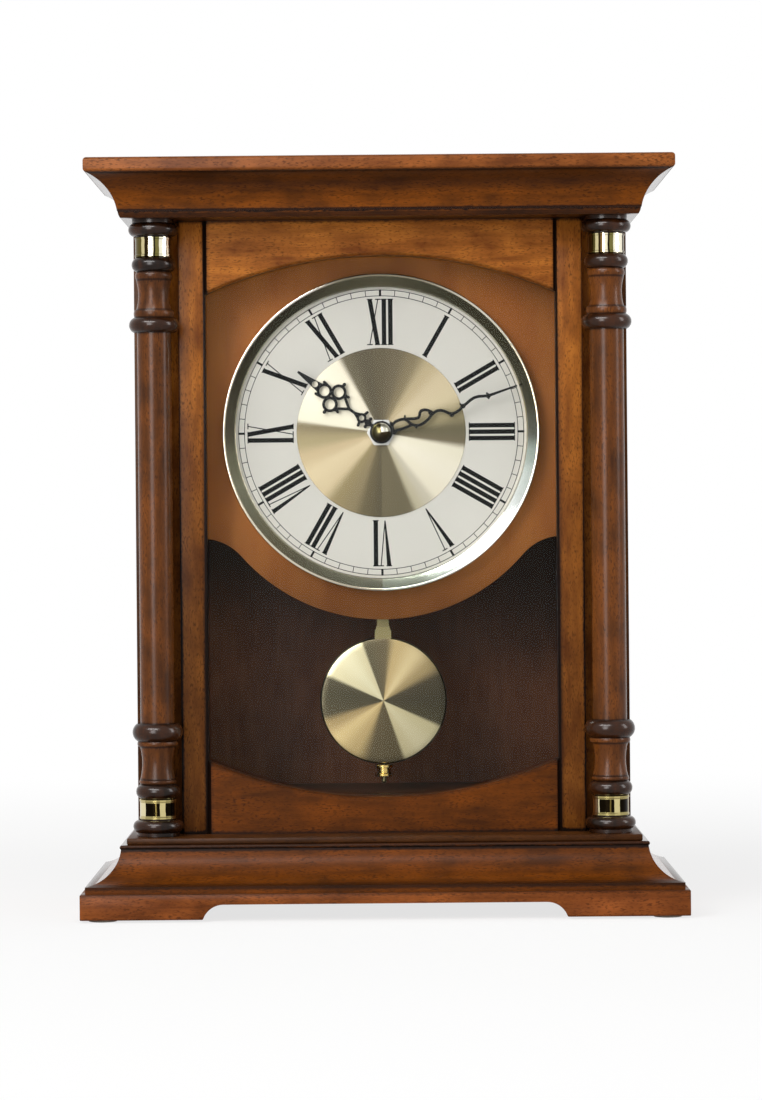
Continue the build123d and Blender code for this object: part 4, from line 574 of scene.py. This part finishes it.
shaft_wood = stained_wood("shaft_wood", "z", colour_of("703d12"), colour_of("3e2008"), glaze_and_shade_at=crease_shade,
                          gloss=1.2, smooth=0.24, relief=0.05)
bead_wood = stained_wood("bead_wood", "z", colour_of("3c1d07"), colour_of("160902"), glaze_and_shade_at=crease_shade,
                         flecks=0.3, gloss=1.28, smooth=0.2, relief=0.02)
column_bm = bmesh.new()
ring_bm = bmesh.new()
for side in (-1, 1):
    middle = (side * column_x, column_y)
    turned(column_bm, middle,
           [(tenon, low_bead), *swelling(groove_radius, bead_radius, low_bead, low_small_bead)], slot=1)
    turned(column_bm, middle,
           [*swelling(groove_radius, small_bead_radius, low_small_bead, low_vase, 6),
            *swelling(vase_end, vase_waist, low_vase, low_fillet, 16),
            *swelling(fillet_side, fillet_radius, low_fillet, low_ring, 6), (ring_side, low_ring)])
    turned(column_bm, middle,
           [(fillet_side, low_ring), *swelling(ring_side, ring_radius, low_ring, shaft_foot),
            (shaft, shaft_foot)], slot=1)
    turned(column_bm, middle, [(shaft, shaft_foot), (shaft, high_ring)])
    turned(column_bm, middle,
           [(shaft, high_ring), *swelling(ring_side, ring_radius, high_ring, high_fillet),
            (fillet_side, high_fillet)], slot=1)
    turned(column_bm, middle,
           [(ring_side, high_fillet), *swelling(fillet_side, fillet_radius, high_fillet, high_vase, 6),
            *swelling(vase_end, vase_waist, high_vase, high_small_bead, 16),
            *swelling(groove_radius, small_bead_radius, high_small_bead, high_bead, 6)])
    turned(column_bm, middle,
           [*swelling(groove_radius, bead_radius, high_bead, high_band), (tenon, high_band)], slot=1)
    turned(ring_bm, middle,
           [(core, 37.0), (core, foot_level), (8.8, foot_level), (foot_radius, 33.6), (foot_radius, 35.0),
            *swelling(ring_side, ring_radius, 35.0, 40.2), (groove_radius, 40.2), (groove_radius, low_band),
            (core, low_band), (core, 37.0)])
    turned(ring_bm, middle,
           [(core, 291.0), (core, 285.9), (groove_radius, 285.9), (groove_radius, 286.3),
            *swelling(ring_side, ring_radius, 286.3, 291.7), (foot_radius, 291.7),
            (foot_radius, head_level), (core, head_level), (core, 291.0)])
settle("turned_columns", column_bm, "case", ["columns"], "dark_wood", shaft_wood, bead_wood)
settle("column_end_rings", ring_bm, "case", ["column_rings"], "dark_wood", bead_wood)


def bearing_stops(pairs):
    """Ramp stops from bearings in degrees clockwise from the top, -180 to 180, and colours."""
    return [((bearing + 180) / 360, colour_of(code)) for bearing, code in pairs]


brass, place, shader = new_finish("polished_brass", {"Metallic": 1.0})
smear = place.noise(160.0, 3.0)
wire(shader, Base_Color=smear.between(colour_of("b08f45"), colour_of("d9c07c")),
     Roughness=smear * 0.10 + 0.08)

band_brass, place, shader = new_finish("band_brass", {"Metallic": 1.0})
x, y, z = place.axes()
# Each band's painted reflections go by bearing round its own column's axis, clockwise from the front.
off_axis = x - x.sum_with("SIGN") * (column_x / 1000)
facing = off_axis.sum_with("ARCTAN2", (y - column_y / 1000) * -1) / (2 * pi) + 0.5
smear = place.noise(260.0)
# Painted reflections: dark and bright cells round the upper bands and round the lower bands.
high_band_reflections = bearing_stops([(-180, "8f7a3c"), (-80, "5b5028"), (-38, "cfc294"), (-28, "2b2010"),
                            (-14, "efe6c6"), (2, "1d160b"), (8, "77703f"), (20, "f6f0d8"), (58, "3a2c14"),
                            (72, "8a7a48")])
low_band_reflections = bearing_stops([(-180, "8f7a3c"), (-80, "dfd4ac"), (-42, "120d06"), (-6, "6d5e32"),
                           (-2, "120d06"), (8, "cdbf8a"), (26, "120d06"), (66, "8a7840")])
wavy = facing + (smear - 0.5) * 0.012
reflection_ramps = [facing.node("ShaderNodeValToRGB", {"stops": cells, "blending": "CONSTANT"}, {"Fac": wavy})
         for cells in (high_band_reflections, low_band_reflections)]
# Painted highlights along the rims of the lower bands.
low_rim_highlights = (abs(z - (low_band + 4.3) / 1000) - 0.0026).ease(0.0, 0.0003)
tone = reflection_ramps[0].tint((0.15 - z).ease(0.0, 0.01), reflection_ramps[1].tint(low_rim_highlights * 0.75, colour_of("b3a46c")))
wire(shader, Base_Color=tone, Roughness=smear * 0.10 + 0.10)
band_bm = bmesh.new()
band_edge, band_radius, band_waist, band_height = 7.6, 7.9, 7.7, 8.6
band_outline = [(core, 4.0), (core, 0.0), (band_edge, 0.0), (band_radius, 0.3), (band_radius, 1.0),
                (band_waist, 1.2), (band_waist, 7.4), (band_radius, 7.6), (band_radius, 8.3),
                (band_edge, band_height), (core, band_height), (core, 4.0)]
for side in (-1, 1):
    for foot in (low_band, high_band):
        turned(band_bm, (side * column_x, column_y),
               [(radius, foot + rise) for radius, rise in band_outline])
settle("column_brass", band_bm, "case", ["column_brass_bands"], "brass", band_brass)


# Cornice and top board
# A mitred cove moulding on a small bead, under a flat board with eased edges.
cornice_inner, cornice_head = 46.5, 311.3
bead_foot, bead_top = (18.0, head_level), (17.0, 296.0)
cove_foot, cove_top = (16.8, 296.0), (4.7, cornice_head)
cornice_section = [(cornice_inner, head_level), bead_foot, *bowed(bead_foot, bead_top, -0.2, 4), cove_foot,
                   *bowed(cove_foot, cove_top, 2.6, 20), (cornice_inner, cornice_head)]


def cornice_painted_shade(x, y, z, rough):
    """Painted shade at the bead, below it, and towards the top of the cove under the top board."""
    bead = (abs(z - 0.2961) * -1 + 0.0011 + rough * 0.0006).ease(0.0, 0.0008) * 0.9
    foot = (0.2958 - z + rough * 0.001).ease(0.0, 0.001) * 0.72
    cove = (z + rough * 0.003).ease(0.3015, 0.3075) * 0.55
    return bead + foot + cove + (z + rough * 0.001).ease(0.3103, 0.3113) * 0.4


def top_board_darkening(x, y, z, rough):
    """Painted shade under the board's edge, and a light darkening on its top."""
    foot = (0.3123 - z + rough * 0.001).ease(0.0, 0.0012) * 0.7
    return foot + (z + rough * 0.0008).ease(0.3166, 0.3175) * 0.35


cove_warm, cove_deep = colour_of("7d4109"), colour_of("4b2504")
cornice_front_wood = stained_wood("cornice_front_wood", "x", cove_warm, cove_deep, glaze_and_shade_at=cornice_painted_shade)
cornice_side_wood = stained_wood("cornice_side_wood", "y", cove_warm, cove_deep, glaze_and_shade_at=cornice_painted_shade,
                                 gloss=1.35, smooth=0.15)
settle("cornice_cove_moulding", mitred_run(cornice_section), "case", ["cornice"], "case_wood",
       cornice_front_wood, cornice_side_wood)
top_wood = stained_wood("top_wood", "x", colour_of("965627"), colour_of("5f3214"), glaze_and_shade_at=top_board_darkening,
                        shift=0.7)
settle("top_cover_board", eased_copy("top_board", 0.25), "case", ["top_board"], "case_wood", top_wood)


# Dial board
# A smooth veneered board behind the frame, cut to a round belly under the dial with hollow ears.
veneer, place, shader = new_finish("board_veneer", {"Specular IOR Level": 0.05})
drawn = place.node("ShaderNodeMapping", {}, {"Vector": place, "Scale": (1.0, 1.0, 0.3)})
figure = drawn.noise(60.0, 3.0)
grit = place.noise(1100.0, 1.0)
body = figure.ease(0.3, 0.7).between(colour_of("b26a30"), colour_of("c57c3c"))
body = body.tint(grit.ease(0.45, 0.8) * 0.22, colour_of("5a3018"))
_, depth, level = place.axes()
body = body.tint((depth + 0.0008).ease(0.0, 0.0006) * 0.75, colour_of("2a1409"))
# Painted shade over the board's lower part, below the dial.
body = body.tint((0.17 - level).ease(0.0, 0.045) * 0.6, colour_of("2a1409"))
wire(shader, Base_Color=body, Roughness=grit * 0.1 + 0.5)
settle("dial_back_board", eased_copy("dial_board", 0.25), "case", ["dial_board"], "veneer", veneer)


# Dial
# A white enamelled plate with printed Roman numerals and a minute track, with a spun gilt disc on it.
dial_height = 203.4
plate_front, plate_back, plate_radius, bush_hole = -1.79, -0.99, 64.8, 4.3
plate, place, shader = new_finish("dial_enamel", {"Specular IOR Level": 0.3})
grain = place.noise(30.0)
wire(shader, Base_Color=grain.between(colour_of("e3dfd6"), colour_of("ebe7de")),
     Roughness=grain * 0.1 + 0.5)


def dial_turned(bm, profile, sides=128, slot=0, height=dial_height):
    """Turns a profile of (radius, depth) about an axis from front to back, such as the dial's."""
    spun(bm, [(radius, depth, height) for radius, depth in profile], (0, 0, height), (0, 1, 0), sides, slot)


plate_bm = bmesh.new()
dial_turned(plate_bm, [(bush_hole, plate_back), (plate_radius, plate_back), (plate_radius, plate_front),
                       (bush_hole, plate_front), (bush_hole, plate_back)])
settle("dial_face", plate_bm, "case", ["dial_plate"], "white_enamel", plate)

ink, place, shader = new_finish("printing_ink", {"Specular IOR Level": 0.05})
blot = place.noise(900.0)
wire(shader, Base_Color=blot.between(colour_of("111111"), colour_of("1d1c1b")),
     Roughness=blot * 0.2 + 0.5)
print_front, print_back = -1.83, plate_front


def stroke(bm, turn, foot, head, foot_width, head_width):
    """A printed stroke from foot to head, in a frame whose y points outwards along a bearing."""
    run, rise = head[0] - foot[0], head[1] - foot[1]
    length = sqrt(run ** 2 + rise ** 2)
    made = bmesh.ops.create_cube(bm, size=1.0)["verts"]
    for vert in made:
        width = head_width if vert.co.z > 0 else foot_width
        depth = print_front if vert.co.y < 0 else print_back
        vert.co = (vert.co.x * width, depth, (vert.co.z + 0.5) * length)
    on_dial = Matrix.Translation((0, 0, dial_height)) @ Matrix.Rotation(radians(turn), 4, "Y")
    tilt = Matrix.Rotation(atan2(run, rise), 4, "Y")
    bmesh.ops.transform(bm, matrix=on_dial @ Matrix.Translation((foot[0], 0, foot[1])) @ tilt, verts=made)


numeral_foot, numeral_head = 37.8, 57.2
thick, hairline, serif = 1.9, 0.42, 0.46
stem_serif, arm_serif = 1.25, 1.2
letter_reach = {"I": 2.75, "V": 5.4, "X": 5.9}


def letter(bm, turn, kind, middle):
    """One letter of a numeral, its middle off the numeral's line by so much."""
    low, high = numeral_foot, numeral_head
    if kind == "I":
        stroke(bm, turn, (middle, low), (middle, high), thick, thick)
        for level in (low, high):
            stroke(bm, turn, (middle - stem_serif, level), (middle + stem_serif, level), serif, serif)
    if kind == "X":
        stroke(bm, turn, (middle + 1.55, low), (middle - 1.75, high), thick, thick)
        stroke(bm, turn, (middle - 1.75, low), (middle + 1.75, high), hairline, hairline)
        for across, level in ((-1.75, low), (1.55, low), (-1.75, high), (1.75, high)):
            here = middle + across
            stroke(bm, turn, (here - arm_serif, level), (here + arm_serif, level), serif, serif)
    if kind == "V":
        stroke(bm, turn, (middle + 0.1, low), (middle - 1.6, high), 0.5, thick)
        stroke(bm, turn, (middle + 0.1, low), (middle + 1.9, high), hairline, hairline)
        for across in (-1.6, 1.9):
            here = middle + across
            stroke(bm, turn, (here - arm_serif, high), (here + arm_serif, high), serif, serif)


print_bm = bmesh.new()
numerals = ("XII", "I", "II", "III", "IIII", "V", "VI", "VII", "VIII", "IX", "X", "XI")
for hour, numeral in enumerate(numerals):
    here = -sum(letter_reach[kind] for kind in numeral) / 2
    for kind in numeral:
        letter(print_bm, hour * 30, kind, here + letter_reach[kind] / 2)
        here += letter_reach[kind]
track_inner, track_outer = 58.7, 61.2
for minute in range(60):
    width, past = (0.3, 0.0) if minute % 5 else (0.95, 0.2)
    stroke(print_bm, minute * 6, (0, track_inner - past), (0, track_outer + past), width, width)
for radius in (track_inner, track_outer):
    inside, outside = radius - 0.14, radius + 0.14
    dial_turned(print_bm, [(inside, print_back), (inside, print_front), (outside, print_front),
                           (outside, print_back), (inside, print_back)], sides=180)
settle("dial_printing", print_bm, "case", [], "black_paint", ink)


def brushed_with_painted_tones(name, height, stops, rough, hairs=0.12):
    """Metal brushed from its middle outwards; its tone is painted by bearing round the axis from the ramp
    stops, which on the disc, bezel, cap and bob are painted reflections.
    """
    material, place, shader = new_finish(name, {"Metallic": 1.0})
    centred = place.node("ShaderNodeMapping", {}, {"Vector": place, "Location": (0, 0, -height / 1000)})
    x, _, z = centred.axes()
    bearing = x.sum_with("ARCTAN2", z) / (2 * pi) + 0.5
    hair = place.node("ShaderNodeTexNoise", {"noise_dimensions": "1D"},
                      {"W": bearing * 900.0, "Scale": 1.0, "Detail": 3.0})
    body = bearing.node("ShaderNodeValToRGB", {"stops": stops, "blending": "EASE"}, {"Fac": bearing})
    body = body.tint(hair.ease(0.3, 0.7) * hairs, colour_of("6f6850"))
    wire(shader, Base_Color=body, Roughness=hair * 0.1 + rough, Normal=hair.bump(hairs))
    return material


# Painted reflections on the gilt disc: bright and dark wedges round the dial.
disc_reflections = bearing_stops([(-180, "403b2e"), (-168, "4a4332"), (-158, "665c45"), (-146, "6c6146"),
                            (-134, "9a8d71"), (-120, "9e9175"), (-108, "908266"), (-96, "796f54"),
                            (-84, "635a46"), (-80, "afab99"), (-55, "b7b2a1"), (-32, "afa998"),
                            (-26, "4a4538"), (-12, "403b30"), (0, "453f32"), (12, "4d4638"),
                            (24, "605743"), (36, "8a7e63"), (50, "9c9076"), (62, "9e9378"),
                            (76, "797056"), (88, "4e4938"), (97, "554e3e"), (103, "b1ac9a"),
                            (122, "b4af9f"), (138, "b1ab99"), (146, "959080"), (154, "8c8671"),
                            (160, "4e4838")])
gilt = brushed_with_painted_tones("spun_gilt", dial_height, disc_reflections, 0.30)
disc_radius, disc_front = 36.3, -2.09
disc_bm = bmesh.new()
dial_turned(disc_bm, [(bush_hole, plate_front), (disc_radius, plate_front), (disc_radius, -2.05),
                      (36.25, disc_front), (bush_hole, disc_front), (bush_hole, plate_front)])
settle("gilt_centre", disc_bm, "case", ["dial_centre_disc"], "gilt", gilt)


# Bezel
# A turned ring of polished metal with a dished face, pressed over the dial's edge.
# Painted reflections on the bezel's face and rim: darker above, bright white at the lower right.
bezel_reflections = bearing_stops([(-180, "7e7b6b"), (-135, "786f5a"), (-112, "8f8a74"), (-100, "7a745f"),
                             (-88, "5a5242"), (-68, "433c2e"), (-38, "3f3a2e"), (-15, "57503e"),
                             (0, "675f4a"), (22, "4e4838"), (45, "494334"), (78, "565141"),
                             (90, "77756a"), (98, "c4cdc4"), (108, "f2f5f1"), (120, "fefefc"),
                             (146, "fdfdfa"), (156, "d2d7cd"), (168, "9a9d8f")])
rim_reflections = bearing_stops([(-180, "a69c8a"), (-135, "d1c8b4"), (-90, "b9af97"), (-60, "cec5b0"),
                           (-33, "d3cabc"), (-12, "7a725f"), (12, "867e6b"), (40, "cec7b6"),
                           (80, "bfb192"), (110, "dbd5c8"), (140, "e9e5db"), (163, "b2b2a2")])
bezel_metal = brushed_with_painted_tones("bezel_polish", dial_height, bezel_reflections, 0.12, hairs=0.02)
rim_metal = brushed_with_painted_tones("bezel_rim_polish", dial_height, rim_reflections, 0.08, hairs=0.02)
bezel_bm = bmesh.new()
bezel_radius, bezel_bore, rebate = 68.0, 62.4, 65.1
rim_side, face_outer, face_inner = (bezel_radius, -6.4), (66.75, -6.85), (62.95, -4.4)
dial_turned(bezel_bm, [(rebate, plate_back), (bezel_radius, plate_back), rim_side,
                       *arc_through(rim_side, (67.85, -6.82), (67.4, -6.99), 5), (67.0, -6.99), face_outer],
            sides=180, slot=1)
dial_turned(bezel_bm, [face_outer, face_inner], sides=180)
dial_turned(bezel_bm, [face_inner, (62.6, -4.3), (bezel_bore, -4.1), (bezel_bore, plate_front),
                       (rebate, plate_front), (rebate, plate_back)], sides=180, slot=1)
settle("bezel_turned", bezel_bm, "case", ["bezel_ring"], "bezel_metal", bezel_metal, rim_metal)


# Hands
# Pierced hands stamped from thin steel and painted black, under a domed cap nut of dark bronze.
black, place, shader = new_finish("hand_paint", {"Specular IOR Level": 0.15})
dust = place.noise(700.0, 2.0)
wire(shader, Base_Color=dust.between(colour_of("080808"), colour_of("121110")),
     Roughness=dust * 0.2 + 0.5)
dress("hour_hand", black)
dress("minute_hand", black)
# Painted reflections and highlights on the domed nut.
cap_reflections = bearing_stops([(-180, "2e2418"), (-120, "4f4831"), (-60, "6d6643"), (-8, "4a4029"),
                           (6, "efe9d8"), (78, "f4efe0"), (90, "46391f"), (140, "33281a")])
cap_metal = brushed_with_painted_tones("cap_bronze", dial_height, cap_reflections, 0.25, hairs=0.02)
cap_bm = bmesh.new()
cap_top, cap_radius, cap_foot = (0, -9.99), 4.0, -7.19
dial_turned(cap_bm, [cap_top, *arc_through(cap_top, (2.8, -9.1), (3.8, -7.99), 10), (cap_radius, -7.9),
                     (cap_radius, cap_foot), (0, cap_foot)], sides=48)
settle("domed_cap_nut", cap_bm, "minute", ["hand_cap_nut"], "brass", cap_metal)

steel, place, shader = new_finish("plated_steel", {"Metallic": 1.0})
brushed = place.noise(500.0, 3.0)
wire(shader, Base_Color=brushed.between(colour_of("9c9c9a"), colour_of("c4c4c0")),
     Roughness=brushed * 0.2 + 0.2)
dress("centre_nut", steel)
dress("centre_bush", brass)


# Movement
# A quartz movement in a moulded black housing in two shells, with a loudspeaker, two cells and its controls
# on the rear. Its wheels are white plastic.
def moulded(name, low, high, rough=0.45, grain_scale=900.0):
    """A material with a fine even grain between two colours."""
    material, place, shader = new_finish(name, {"Specular IOR Level": 0.45})
    texture = place.noise(grain_scale, 2.0)
    wire(shader, Base_Color=texture.between(colour_of(low), colour_of(high)),
         Roughness=texture * 0.2 + rough, Normal=texture.bump(0.2))
    return material


shell_plastic = moulded("shell_plastic", "1b1b1c", "29292a")
white_plastic = moulded("white_plastic", "d9d7cf", "e8e6df", rough=0.3)
red_plastic = moulded("button_plastic", "8f1c16", "a8251c", rough=0.3)
circuit = moulded("circuit_lacquer", "12401f", "1d5a2c", rough=0.35)
cell_skin = moulded("cell_sleeve", "22303c", "2c3d4b", rough=0.25)
wire_copper = moulded("coil_wire", "8a4a22", "a85d2e", rough=0.35, grain_scale=2500.0)
for name, node, body in (("front_shell", "movement_front_shell", "case"),
                         ("rear_shell", "movement_rear_shell", "case"),
                         ("cell_cover", "battery_cover", "cover")):
    settle(name, eased_copy(node, 0.3), body, [node], "black_plastic", shell_plastic)
for node in ("setting_knob", "speaker"):
    dress(node, shell_plastic)
for node in ("hour_wheel", "motion_wheel", "centre_wheel", "third_wheel", "seconds_wheel",
             "intermediate_wheel", "motor_rotor", "movement_plate", "chime_selector",
             "night_silence_switch", "volume_knob"):
    dress(node, white_plastic)
for node in ("minute_arbor", "battery_contacts", "motor_stator", "pendulum_magnet", "case_hardware",
             "door_hardware", "glass_clips", "case_screws"):
    dress(node, steel)
dress("batteries", cell_skin)
dress("coils", wire_copper)
dress("circuit_board", circuit)
dress("test_button", red_plastic)


# Pendulum
# A brass strip on a hook carries a flat round bob with a spun face and a soft rim. A nut under it sets
# the rate, and a small block clips the strip to the bob.
pendulum_y = 10.01
bob_height = 87.77
# Painted reflections on the bob's face: bright and dark wedges round it.
bob_reflections = bearing_stops([(-180, "494130"), (-168, "494130"), (-150, "907e57"), (-128, "a49268"),
                           (-113, "7e6d4c"), (-102, "393529"), (-80, "343126"), (-68, "39352a"),
                           (-62, "a59e7f"), (-40, "aca689"), (-22, "a29b7c"), (-18, "464132"),
                           (2, "4d4534"), (14, "95835c"), (34, "ac9c75"), (54, "837351"), (68, "393429"),
                           (90, "343026"), (112, "3b372a"), (117, "a19977"), (140, "a8a081"),
                           (158, "9d9473"), (163, "473f2e")])
bob_metal = brushed_with_painted_tones("bob_spun", bob_height, bob_reflections, 0.28)
strip_metal = brushed_with_painted_tones("strip_metal", bob_height, bearing_stops([(-180, "5e563c"), (0, "6b6345")]), 0.35)
bob_bm = bmesh.new()
bob_face, bob_back, bob_radius, rim_foot = (0, 7.61), 12.41, 27.37, (26.75, 8.16)
dial_turned(bob_bm, [bob_face, *arc_through(bob_face, (18.8, 7.86), (26.57, 8.11), 12), rim_foot,
                     *arc_through(rim_foot, (27.2, 8.6), (bob_radius, 9.1), 5), (bob_radius, 11.11),
                     (25.17, bob_back), (0, bob_back)], height=bob_height)
settle("bob_disc", bob_bm, "pendulum", ["pendulum_bob"], "brass", bob_metal)
clip_bm = bmesh.new()
for half, low, high in ((3.55, 112.0, 118.3), (3.0, 118.3, 119.9)):
    bmesh.ops.create_cube(clip_bm, size=1.0, matrix=Matrix.Translation((0, pendulum_y, (low + high) / 2))
                          @ Matrix.Diagonal((half * 2, 3.6, high - low, 1)))
settle("bob_clip", clip_bm, "pendulum", [], "brass", strip_metal)
dress("pendulum_rod", strip_metal)
dress("pendulum_hanger", brass)
nut_bm = bmesh.new()
nut_bore, nut_waist, nut_shoulder, nut_radius = 1.05, 3.0, 3.7, 4.0
turned(nut_bm, (0, pendulum_y),
       [(nut_bore, 57.0), (nut_bore, 55.1), (nut_shoulder, 55.1), (nut_radius, 55.4), (nut_radius, 56.3),
        (nut_shoulder, 56.6), (nut_waist, 56.7), (nut_waist, 58.7), (nut_shoulder, 58.8), (nut_radius, 59.1),
        (nut_radius, 60.0), (nut_shoulder, 60.3), (nut_bore, 60.3), (nut_bore, 57.0)], sides=40)
settle("rating_nut_turned", nut_bm, "rating", ["rating_nut"], "brass", brass)


# Rear door
# A flat stained board with sound slots and a finger notch, hung on two butt hinges.
def door_shade(x, y, z, rough):
    """Painted shade over the upper half of the inner face, under the dial board and the movement."""
    return (z + x * 0.1).ease(0.085, 0.15) * (0.058 - y).ease(0.0, 0.001) * 0.86


door_wood = stained_wood("door_wood", "z", colour_of("7a4c30"), colour_of("663d25"), glaze_and_shade_at=door_shade,
                         flecks=0.1, relief=0.0)
settle("rear_door_board", eased_copy("back_door", 0.3), "door", ["back_door"], "back_board", door_wood)
